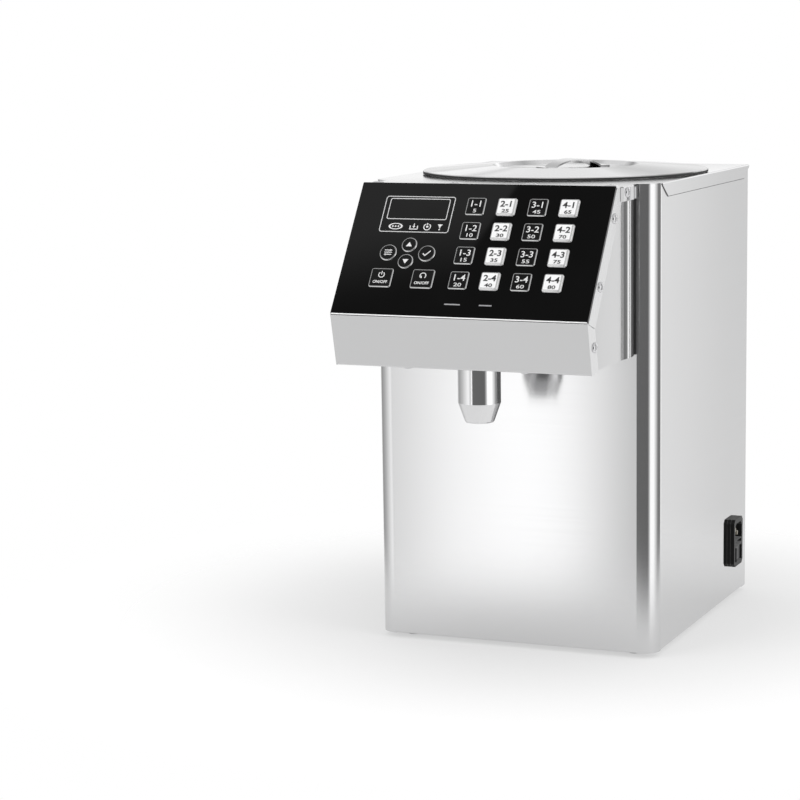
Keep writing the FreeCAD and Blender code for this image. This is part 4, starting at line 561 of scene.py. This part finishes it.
# Outlines from the chamfer's lower edge inwards: how much smaller than the key, and how far up.
RIM_STEPS = (
    (-0.02, 0.0), (0.24, 0.372), (KEY_EDGE, RIM_TOP), (KEY_EDGE + RIM_FLAT, RIM_TOP),
    (KEY_EDGE + RIM_FLAT + 0.05, KEY_EDGE),
)
CAP_STEPS = (
    (-0.02, 0.0), (0.10, 0.30), (0.35, 0.56), (1.0, 0.88), (1.8, 1.20), (2.2, 1.29), (2.8, 1.33), (7.6, 1.36),
)
CAP_EDGE = 4                                # the steps up to here are the sloping edge
CAP_LEAN = (0.45, 0.25)                     # shift left and up with the height: a wider edge right and below
CAP_TOP = KEY_FOOT + CAP_STEPS[-1][1]

LABEL_SIZE, LABEL_WIDE, LABEL_UP = 6.3, 1.08, 2.6
NUMBER_SIZE, NUMBER_WIDE, NUMBER_UP = 3.7, 1.5, -4.6
NUMBER_STEP = 5                             # the small numbers count up by this
BLACK_KEY_BOLD, SILVER_KEY_BOLD = 0.008, 0.026
WORD_SIZE, WORD_UP = 2.9, -4.3

# Signs about a middle. A face is its corners, a line its ends and width, an arc its middle, radius, width
# and two angles in degrees, and a dot its middle, radius and number of sides.
SIGNS = {
    "key_up": (("face", (-2.9, -1.9), (2.9, -1.9), (0.0, 2.6)),),
    "key_down": (("face", (-2.9, 1.9), (0.0, -2.6), (2.9, 1.9)),),
    "key_set": (                            # three sliders
        ("line", (-3.6, -2.2), (3.6, -2.2), 0.8), ("dot", (-2.0, -2.2), 0.95, 16),
        ("line", (-3.6, 0.0), (3.6, 0.0), 0.8), ("dot", (0.0, 0.0), 0.95, 16),
        ("line", (-3.6, 2.2), (3.6, 2.2), 0.8), ("dot", (2.0, 2.2), 0.95, 16),
    ),
    "key_save": (                           # a tick
        ("line", (-3.4, -0.2), (-0.9, -2.7), 1.0), ("line", (-1.25, -2.6), (3.6, 2.6), 1.0),
    ),
    "key_power": (("arc", (0.0, 2.9), 2.7, 0.8, 125, 415), ("line", (0.0, 3.0), (0.0, 6.6), 0.8)),
    "key_continuous": (                     # an arrow that turns back
        ("arc", (0.0, 3.0), 2.8, 0.8, -50, 230), ("face", (-3.6, 1.9), (-0.6, 0.6), (-1.2, 3.0)),
    ),
    "filling": (                            # an arrow down into a cup
        ("line", (-3.6, 1.0), (-3.6, -2.8), 0.9), ("line", (3.6, 1.0), (3.6, -2.8), 0.9),
        ("line", (-4.0, -2.6), (4.0, -2.6), 0.9), ("line", (0.0, 3.2), (0.0, 0.4), 0.8),
        ("face", (-1.5, 0.6), (0.0, -1.5), (1.5, 0.6)),
    ),
    "cycle": (                              # an arrow round a dot
        ("arc", (0.0, 0.0), 3.2, 0.9, 125, 415), ("dot", (0.0, 0.2), 1.1, 20),
        ("face", (-0.9, 4.0), (-0.9, 1.9), (1.1, 3.0)),
    ),
    "funnel": (
        ("face", (-2.5, 2.8), (0.0, -0.6), (2.5, 2.8)), ("line", (0.0, 0.4), (0.0, -1.2), 1.2),
        ("dot", (0.0, -2.6), 0.75, 16),
    ),
    "three_dots": tuple(("dot", (x, 0.0), 0.85, 14) for x in (-2.7, 0.0, 2.7)),
}


def add_rim(name, x, y, face):
    """Metal rim round a black key: the chamfer and a narrow flat inside it."""
    rim = Drawing()
    rim.skin([(face_loop(x, y, face, shrink), KEY_FOOT + up) for shrink, up in RIM_STEPS])
    rim.make(name + "_rim", "key_rim", name, smooth=50)


def add_cap(name, x, y, face):
    """Softly domed cap of a silver key."""
    loops = []
    for shrink, up in CAP_STEPS:
        middle = (x - CAP_LEAN[0] * up, y + CAP_LEAN[1] * up)
        loops.append((face_loop(*middle, face, shrink), KEY_FOOT + up))
    cap = Drawing()
    cap.skin(loops[CAP_EDGE:], closed_top=True)
    cap.make(name + "_cap", "key_silver", name, smooth=60)
    # the sloping edge takes the darker copy of the silver: painted shade
    edge = Drawing()
    edge.skin(loops[:CAP_EDGE + 1])
    edge.make(name + "_cap_edge", "key_edge_painted_shade", name, smooth=60)


def add_grid_keys():
    """The sixteen numbered keys. Two columns are black with a rim, two silver."""
    for column in range(4):
        for row in range(4):
            name = "key_%d_%d" % (column + 1, row + 1)
            x = FIRST_KEY[0] + column * KEY_PITCH[0]
            y = -(FIRST_KEY[1] + row * KEY_PITCH[1])
            if column % 2 == 0:
                add_rim(name, x, y, KEY_SIZE)
                z, ink, bold = KEY_PROUD + INK, "print_white", BLACK_KEY_BOLD
            else:
                add_cap(name, x, y, KEY_SIZE)
                z, ink, bold = CAP_TOP + INK, "print_dark", SILVER_KEY_BOLD
            number = NUMBER_STEP * (column * 4 + row + 1)
            label = Drawing()
            label.words("%d-%d" % (column + 1, row + 1), LABEL_SIZE, x, y + LABEL_UP, z, LABEL_WIDE, bold)
            label.words("%d" % number, NUMBER_SIZE, x, y + NUMBER_UP, z, NUMBER_WIDE, bold)
            label.make(name + "_label", ink, name)


def add_group_keys():
    """The four round keys and the two wide ones, with plain signs on them."""
    z = KEY_PROUD + INK
    for name, (x, down, radius) in ROUND_KEYS.items():
        add_rim(name, x, -down, radius)
        sign = Drawing()
        sign.sign(name, x, -down, z)
        sign.make(name + "_sign", "print_white", name)
    for name, (x, down) in WIDE_KEYS.items():
        add_rim(name, x, -down, WIDE_KEY)
        sign = Drawing()
        sign.sign(name, x, -down, z)
        sign.words("ON/OFF", WORD_SIZE, x, -down + WORD_UP, z)
        sign.make(name + "_sign", "print_white", name)


# ---- Print on the panel ----------------------------------------------------
LINE_WIDTH = 0.8
DISPLAY_FRAME = (-61.0, -32.8, 68.0, 37.6, 2.6)     # x, y, width, height, corner
WINDOW_FRAME_CORNER = 2.0
SIGN_ROW = -45.6
SIGN_PLACES = {"filling": -61.5, "cycle": -48.5, "funnel": -36.2}
OVAL_X = -79.4
OVAL_SIDES = 40
OVAL_RADII = (3.3, 2.5)                     # upright, of its outer and inner edge
OVAL_STRETCH = 2.1


def outline_band(drawing, x, y, width, height, corner):
    """A printed rounded frame."""
    outer = rounded_loop(x, y, width, height, corner)
    inner = rounded_loop(x, y, width - 2 * LINE_WIDTH, height - 2 * LINE_WIDTH, corner - LINE_WIDTH)
    drawing.band(outer, inner, INK)


def add_panel_print():
    """Frames round the display, and the four signs under it."""
    lines = Drawing()
    outline_band(lines, *DISPLAY_FRAME)
    x, down, width, height = WINDOW
    outline_band(lines, x, -down, width + 2 * LINE_WIDTH, height + 2 * LINE_WIDTH, WINDOW_FRAME_CORNER)
    lines.make("display_frames", "print_line", CASING)
    signs = Drawing()
    for name, x in SIGN_PLACES.items():
        signs.sign(name, x, SIGN_ROW, INK)
    circle = round_loop(0.0, 0.0, 1.0, OVAL_SIDES)
    oval = [[(OVAL_X + r * OVAL_STRETCH * px, SIGN_ROW + r * py) for px, py in circle] for r in OVAL_RADII]
    signs.band(*oval, INK)
    signs.sign("three_dots", OVAL_X, SIGN_ROW, INK)
    signs.make("display_signs", "print_white", CASING)


# ---- Screws ----------------------------------------------------------------
# Places on the right half of the object; the left half has the same.
SIDE_SCREWS = (
    (122.0, -218.98, 415.43), (122.0, -258.55, 358.90), (122.0, -273.77, 307.56), (123.9, -187.7, 436.8),
)
REAR_SCREWS = ((133.0, 157.0, 29.0), (133.0, 157.0, 222.0), (133.0, 157.0, 415.0))
LOW_SCREWS = ((56.5, -270.98, 283.65), (133.0, -50.0, 5.0), (133.0, 0.0, 5.0), (133.0, 50.0, 5.0))
TOP_SCREWS = ((37.5, -202.0, 442.0), (112.5, -202.0, 442.0))
CASING_SCREW = (4.8, 2.2)                   # radius and height of the head
STRIP_SCREW = (6.2, 2.3)
SCREW_RINGS, SCREW_SPOKES = 22, 40
SCREW_DOME = 3.2                            # the higher, the flatter the middle of the dome
SCREW_CROWN = 0.70                          # share of the radius that the recess can reach
SCREW_TURN = radians(37.0)                  # from one screw's recess to the next
RECESS_ARM = 0.62                           # half width of the cross recess
RECESS_DEPTH = 0.9
RECESS_REACH = 0.56                         # share of the radius where the recess ends
RECESS_SLOPES = (0.22, 0.5)                 # widths of its sloping walls: beside an arm, and at its end


def screw_head(radius, height):
    """A domed head with a cross recess, as points and faces about the z axis."""
    points = [(0.0, 0.0, height - RECESS_DEPTH)]
    for k in range(1, SCREW_RINGS + 1):
        r = radius * k / SCREW_RINGS
        dome = height * sqrt(1 - (r / radius) ** SCREW_DOME) if k < SCREW_RINGS else 0.0
        for i in range(SCREW_SPOKES):
            a = 2 * pi * i / SCREW_SPOKES
            x, y = r * cos(a), r * sin(a)
            beside = (RECESS_ARM - min(abs(x), abs(y))) / RECESS_SLOPES[0]
            along = (radius * RECESS_REACH - max(abs(x), abs(y))) / RECESS_SLOPES[1]
            cut = max(0.0, min(1.0, beside)) * max(0.0, min(1.0, along))
            points.append((x, y, dome - RECESS_DEPTH * cut if r < radius * SCREW_CROWN else dome))
    around = [(i, (i + 1) % SCREW_SPOKES) for i in range(SCREW_SPOKES)]
    faces = [[0, 1 + i, 1 + j] for i, j in around]
    for k in range(SCREW_RINGS - 1):
        a, b = 1 + k * SCREW_SPOKES, 1 + (k + 1) * SCREW_SPOKES
        faces += [[a + i, b + i, b + j, a + j] for i, j in around]
    return points, faces


def screw_set(name, seats, size, node):
    """Screws of one size as one piece, standing for a CAD node."""
    points, faces = screw_head(*size)
    gathered = Drawing()
    for k, (place, outward) in enumerate(seats):
        turn = Vector(outward).to_track_quat("Z", "Y").to_matrix() @ Matrix.Rotation(SCREW_TURN * k, 3, "Z")
        gathered.add([tuple(turn @ Vector(p) + Vector(place)) for p in points], faces)
    piece = gathered.make(name, "screw_steel", CASING, IN_PLACE, smooth=40)
    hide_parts(node)


def add_screws():
    """All the screws that show."""
    seats = []
    for side in (-1, 1):
        seats += [((side * x, y, z), (side, 0, 0)) for x, y, z in SIDE_SCREWS]
        seats += [((side * x, y, z), (0, 1, 0)) for x, y, z in REAR_SCREWS]
        seats += [((side * x, y, z), (0, 0, -1)) for x, y, z in LOW_SCREWS]
    screw_set("casing_screw_heads", seats, CASING_SCREW, "casing_screws")
    seats = [((side * x, y, z), (0, 0, 1)) for side in (-1, 1) for x, y, z in TOP_SCREWS]
    screw_set("strip_screw_heads", seats, STRIP_SCREW, "strip_screws")


# ---- Painted shade in gaps, and folds between sheets -----------------------
GAP = 0.7                                   # width of the painted shade line beside a sheet's edge
LIFT = 0.04                                 # the line lies this far off the sheet under it
LID_RADIUS = 139.0
LID_SIDES = 240
LID_SHADE_BAND = (442.55, 444.6)                   # lower part of the lid's rim, painted dark as its shade

# Edge of a side flange, and of the painted shade line under it: y and z.
FLANGE_EDGE = ((-137.0, 440.2), (-120.02, 429.0), (139.02, 429.0), (156.0, 440.2))
FLANGE_SHADE = (
    (-137.0, 440.2 - 1.2 * GAP), (-120.3, 429.0 - GAP), (139.3, 429.0 - GAP), (156.0, 440.2 - 1.2 * GAP),
)
# Corners of the painted shade line behind the head: x and z.
HEAD_SHADE_LINE = ((118.4, 286.4), (121.8, 286.4), (121.8, 428.9), (118.4, 428.9))
# The folded front of a side tab: x and y.
TAB_FOLD = ((121.0, -203.2), (123.9, -198.0), (121.0, -198.0))
TAB_RISE = (429.0, 441.4)
HIGHLIGHT_MIDDLE = (-292.12, 331.44)             # y and z of the pale bead under the keypad: a painted highlight on the fold
HIGHLIGHT_RADIUS = 0.6
HIGHLIGHT_HALF = 121.4
HIGHLIGHT_STEPS = 12
HIGHLIGHT_ARC = (-10.0, 260.0)                   # from and to, in degrees from upright and over the front


def add_painted_gap_shade():
    """Painted shade: dark lines under the top cover's side flanges and behind the head, and a dark band low
    on the lid's rim.
    """
    lines = Drawing()
    for side in (-1, 1):
        for k in range(len(FLANGE_EDGE) - 1):
            quad = [FLANGE_EDGE[k], FLANGE_EDGE[k + 1], FLANGE_SHADE[k + 1], FLANGE_SHADE[k]]
            lines.add([(side * (SIDE_FACE + LIFT), y, z) for y, z in quad], [[0, 1, 2, 3]])
        lines.add([(side * x, FRONT_FACE - LIFT, z) for x, z in HEAD_SHADE_LINE], [[0, 1, 2, 3]])
    lines.make("sheet_gaps_painted_shade", "gap_painted_shade", CASING, IN_PLACE)
    rim = Drawing()
    rim.skin([(round_loop(*LID_CENTRE, LID_RADIUS + 2 * LIFT, LID_SIDES), z) for z in LID_SHADE_BAND])
    rim.make("lid_rim_painted_shade", "gap_painted_shade", "lid", IN_PLACE)


def add_tab_folds():
    """The slanting fold in front of each side tab, which closes the gap between it and the head."""
    for side, name in ((-1, "tab_fold_left"), (1, "tab_fold_right")):
        fold = Drawing()
        fold.skin([([(side * x, y) for x, y in TAB_FOLD], z) for z in TAB_RISE], closed_top=True)
        fold.make(name, "fascia_steel", CASING, IN_PLACE)


def add_keypad_painted_highlight():
    """Painted highlight: a fine pale bead along the keypad's lower edge, where its fold would catch the
    light.
    """
    highlight_bead = Drawing()
    points = []
    for i in range(HIGHLIGHT_STEPS + 1):
        a = radians(HIGHLIGHT_ARC[0] + (HIGHLIGHT_ARC[1] - HIGHLIGHT_ARC[0]) * i / HIGHLIGHT_STEPS)
        y, z = HIGHLIGHT_MIDDLE[0] - HIGHLIGHT_RADIUS * sin(a), HIGHLIGHT_MIDDLE[1] + HIGHLIGHT_RADIUS * cos(a)
        points += [(-HIGHLIGHT_HALF, y, z), (HIGHLIGHT_HALF, y, z)]
    highlight_bead.add(points, [[2 * i, 2 * i + 2, 2 * i + 3, 2 * i + 1] for i in range(HIGHLIGHT_STEPS)])
    highlight_bead.make("keypad_painted_highlight", "key_silver", CASING, IN_PLACE, smooth=60)


# ---- Studio ----------------------------------------------------------------
# Brightness round the studio by azimuth in degrees, 0 straight in front and growing to the right:
# white backdrop behind, grey walls, a softbox on each side, and the dark room behind the camera.
ROUND = (
    (-180, 1.0), (-142, 1.0), (-134, 0.50), (-114, 0.42), (-82, 0.66), (-60, 0.95), (-40, 1.25), (-27, 0.80),
    (-24.6, 0.76), (-23.4, 1.02), (-22.4, 1.44), (-21.4, 1.60), (-19.3, 1.62), (-18.8, 1.34), (-18.3, 0.86),
    (-15.5, 0.17), (50, 0.16), (61, 0.80), (66, 1.50), (88, 1.50), (101, 1.0), (112, 0.62), (122, 0.26),
    (147, 0.26), (151, 1.40), (157.5, 1.45), (160.6, 0.62), (162.4, 1.42), (163.4, 0.80), (165.4, 0.58),
    (167, 1.5), (180, 1.1),
)
RAMP_TOP = 2.0                              # a ramp's levels end at 1, so they are divided by this in it
GROUND = 0.84
GROUND_EDGE = (-0.5, -0.3)                  # height of the direction over which ground gives way to walls
CEILING = 0.70
CEILING_EDGE = (0.28, 0.48)                 # and the walls to the ceiling
DARK_PATCH = (-0.36443, -0.40474, 0.83867)  # direction of the dark ceiling that the keypad mirrors
DARK_PATCH_EDGE = (0.914, 0.966)            # cosine of the angle from it over which the ceiling turns dark
DARK_PATCH_LEVEL = 0.06
OVERHEAD = 0.40                             # the softbox in the dark patch
OVERHEAD_EDGE = (-0.77670, 0.62868, -0.03898)   # normal of its sharp edge
OVERHEAD_EDGE_WIDTH = 0.002
OVERHEAD_FADE = (-0.18356, 0.90899, 0.37422)    # normal of its soft edge
OVERHEAD_FADE_WIDTH = 0.0348
CAMERA_CONE = (0.965, 0.985)                # cosine of the angle from the camera's direction; white inside
LAMP_AIM = Vector((0.0, -0.1, 0.3))
LAMP_POWER = 4.0                            # watts to a square metre for each unit of radiance
LAMPS = (
    # name, azimuth, distance, height, width, length, radiance
    ("softbox_left", -37.0, 2.0, 1.0, 1.4, 2.4, 1.7),
    ("softbox_right", 76.0, 2.0, 1.0, 1.4, 2.4, 2.1),
    ("softbox_overhead", 0.0, 0.3, 2.3, 1.8, 1.8, 0.7),
)
FLOOR_RADIUS = 0.62
FLOOR_SIDES = 96
FLOOR_SHADE_TONE = ((0.0, 0.78), (0.30, 0.82), (0.55, 0.92), (0.80, 1.02), (1.0, 1.12))  # painted shade, darker towards the middle under the object; by share of the radius
FLOOR_FADE = (0.42, 1.0)                    # share of the radius over which the floor gives way to white
FLOOR_GLOW = 0.62                           # of the tone, the part that a shadow doesn't take


def softbox(name, azimuth, distance, up, width, length, radiance):
    """A soft lamp; what the metal sees of it is in the world instead."""
    data = bpy.data.lights.new(name, "AREA")
    data.shape = "RECTANGLE"
    data.size, data.size_y = width, length
    data.energy = LAMP_POWER * width * length * radiance
    lamp = bpy.data.objects.new(name, data)
    a = radians(azimuth)
    centre = Vector((distance * sin(a), -distance * cos(a), up))
    turn = (LAMP_AIM - centre).to_track_quat("-Z", "Y").to_matrix().to_4x4()
    lamp.matrix_world = Matrix.Translation(centre) @ turn
    lamp.visible_glossy = False
    bpy.context.scene.collection.objects.link(lamp)


def room_brightness(nodes, links):
    """The studio's brightness in every direction, and how nearly a direction is the camera's own."""
    direction = nodes.new("ShaderNodeTexCoord").outputs["Generated"]
    place = parts_of(nodes, links, direction)

    def along(way):
        return calculate_vector(nodes, links, "DOT_PRODUCT", direction, way)

    def rise(value, low, high):
        return map_range(nodes, links, value, (low, high), smooth=True)

    front = calculate(nodes, links, "MULTIPLY", place["Y"], -1.0)
    around = by_angle(nodes, links, place["X"], front, ROUND, 1 / RAMP_TOP)
    walls = calculate(nodes, links, "MULTIPLY", around, RAMP_TOP)
    edge = rise(along(OVERHEAD_EDGE), 0.0, OVERHEAD_EDGE_WIDTH)
    fade = rise(along(OVERHEAD_FADE), 0.0, OVERHEAD_FADE_WIDTH)
    lit = calculate(nodes, links, "MULTIPLY", edge, fade)
    patch = calculate(nodes, links, "MULTIPLY_ADD", lit, OVERHEAD - DARK_PATCH_LEVEL, DARK_PATCH_LEVEL)
    above = blend(nodes, links, rise(along(DARK_PATCH), *DARK_PATCH_EDGE), CEILING, patch)
    level = blend(nodes, links, rise(place["Z"], *GROUND_EDGE), GROUND, walls)
    return blend(nodes, links, rise(place["Z"], *CEILING_EDGE), level, above), along(CAMERA_FORWARD)


def seen(nodes, links, mirrored=1.0):
    """1 for the camera's own rays, and as much as given for the rays that metal and glass send on."""
    rays = nodes.new("ShaderNodeLightPath").outputs
    onward = calculate(nodes, links, "MAXIMUM", rays["Is Glossy Ray"], rays["Is Transmission Ray"])
    onward = calculate(nodes, links, "MULTIPLY", onward, mirrored)
    return calculate(nodes, links, "MAXIMUM", rays["Is Camera Ray"], onward)


def add_world():
    """White background, with the studio's light and dark parts round the object."""
    world = bpy.data.worlds.new("studio")
    bpy.context.scene.world = world
    world.use_nodes = True
    nodes, links = world.node_tree.nodes, world.node_tree.links
    nodes.clear()
    brightness, away = room_brightness(nodes, links)
    room = nodes.new("ShaderNodeBackground")
    links.new(brightness, room.inputs["Color"])
    white = nodes.new("ShaderNodeBackground")
    white.inputs["Color"].default_value = (1.0, 1.0, 1.0, 1.0)
    share = seen(nodes, links, map_range(nodes, links, away, CAMERA_CONE, smooth=True))
    both = blend_shaders(nodes, links, share, room.outputs[0], white.outputs[0])
    output = nodes.new("ShaderNodeOutputWorld")
    links.new(both, output.inputs["Surface"])


def floor_material():
    """Pale and partly glowing for the camera, plain for other rays, with painted shade darker towards its
    middle, and clear towards its edge.
    """
    material = bpy.data.materials.new("floor_pale")
    material.use_nodes = True
    nodes, links = material.node_tree.nodes, material.node_tree.links
    nodes.clear()
    distance = calculate_vector(nodes, links, "LENGTH", object_place(nodes))
    share = calculate(nodes, links, "DIVIDE", distance, FLOOR_RADIUS)
    tone = ramp(nodes, links, share, FLOOR_SHADE_TONE)
    plain = nodes.new("ShaderNodeBsdfDiffuse")
    links.new(tone, plain.inputs["Color"])
    shaded = nodes.new("ShaderNodeBsdfDiffuse")
    links.new(calculate(nodes, links, "MULTIPLY", tone, 1 - FLOOR_GLOW), shaded.inputs["Color"])
    glow = nodes.new("ShaderNodeEmission")
    links.new(tone, glow.inputs["Color"])
    glow.inputs["Strength"].default_value = FLOOR_GLOW
    bright = nodes.new("ShaderNodeAddShader")
    links.new(shaded.outputs[0], bright.inputs[0])
    links.new(glow.outputs[0], bright.inputs[1])
    clear = nodes.new("ShaderNodeBsdfTransparent")
    surface = blend_shaders(nodes, links, seen(nodes, links), plain.outputs[0], bright.outputs[0])
    faded = map_range(nodes, links, share, FLOOR_FADE, smooth=True)
    output = nodes.new("ShaderNodeOutputMaterial")
    links.new(blend_shaders(nodes, links, faded, surface, clear.outputs[0]), output.inputs["Surface"])
    return material


def add_floor():
    """Floor that goes to white and keeps the object's shadow."""
    mesh = bpy.data.meshes.new("floor")
    outline = [(x, y, 0.0) for x, y in round_loop(0.0, 0.0, FLOOR_RADIUS, FLOOR_SIDES)]
    mesh.from_pydata(outline, [], [list(range(FLOOR_SIDES))])
    mesh.materials.append(floor_material())
    floor = bpy.data.objects.new("floor", mesh)
    bpy.context.scene.collection.objects.link(floor)


# ---- Making ----------------------------------------------------------------
add_camera()
bpy.context.scene.view_settings.view_transform = "Standard"
MATERIALS = make_materials()
dress_nodes()
add_grid_keys()
add_group_keys()
add_panel_print()
add_screws()
add_painted_gap_shade()
add_tab_folds()
add_keypad_painted_highlight()
for lamp in LAMPS:
    softbox(*lamp)
add_world()
add_floor()
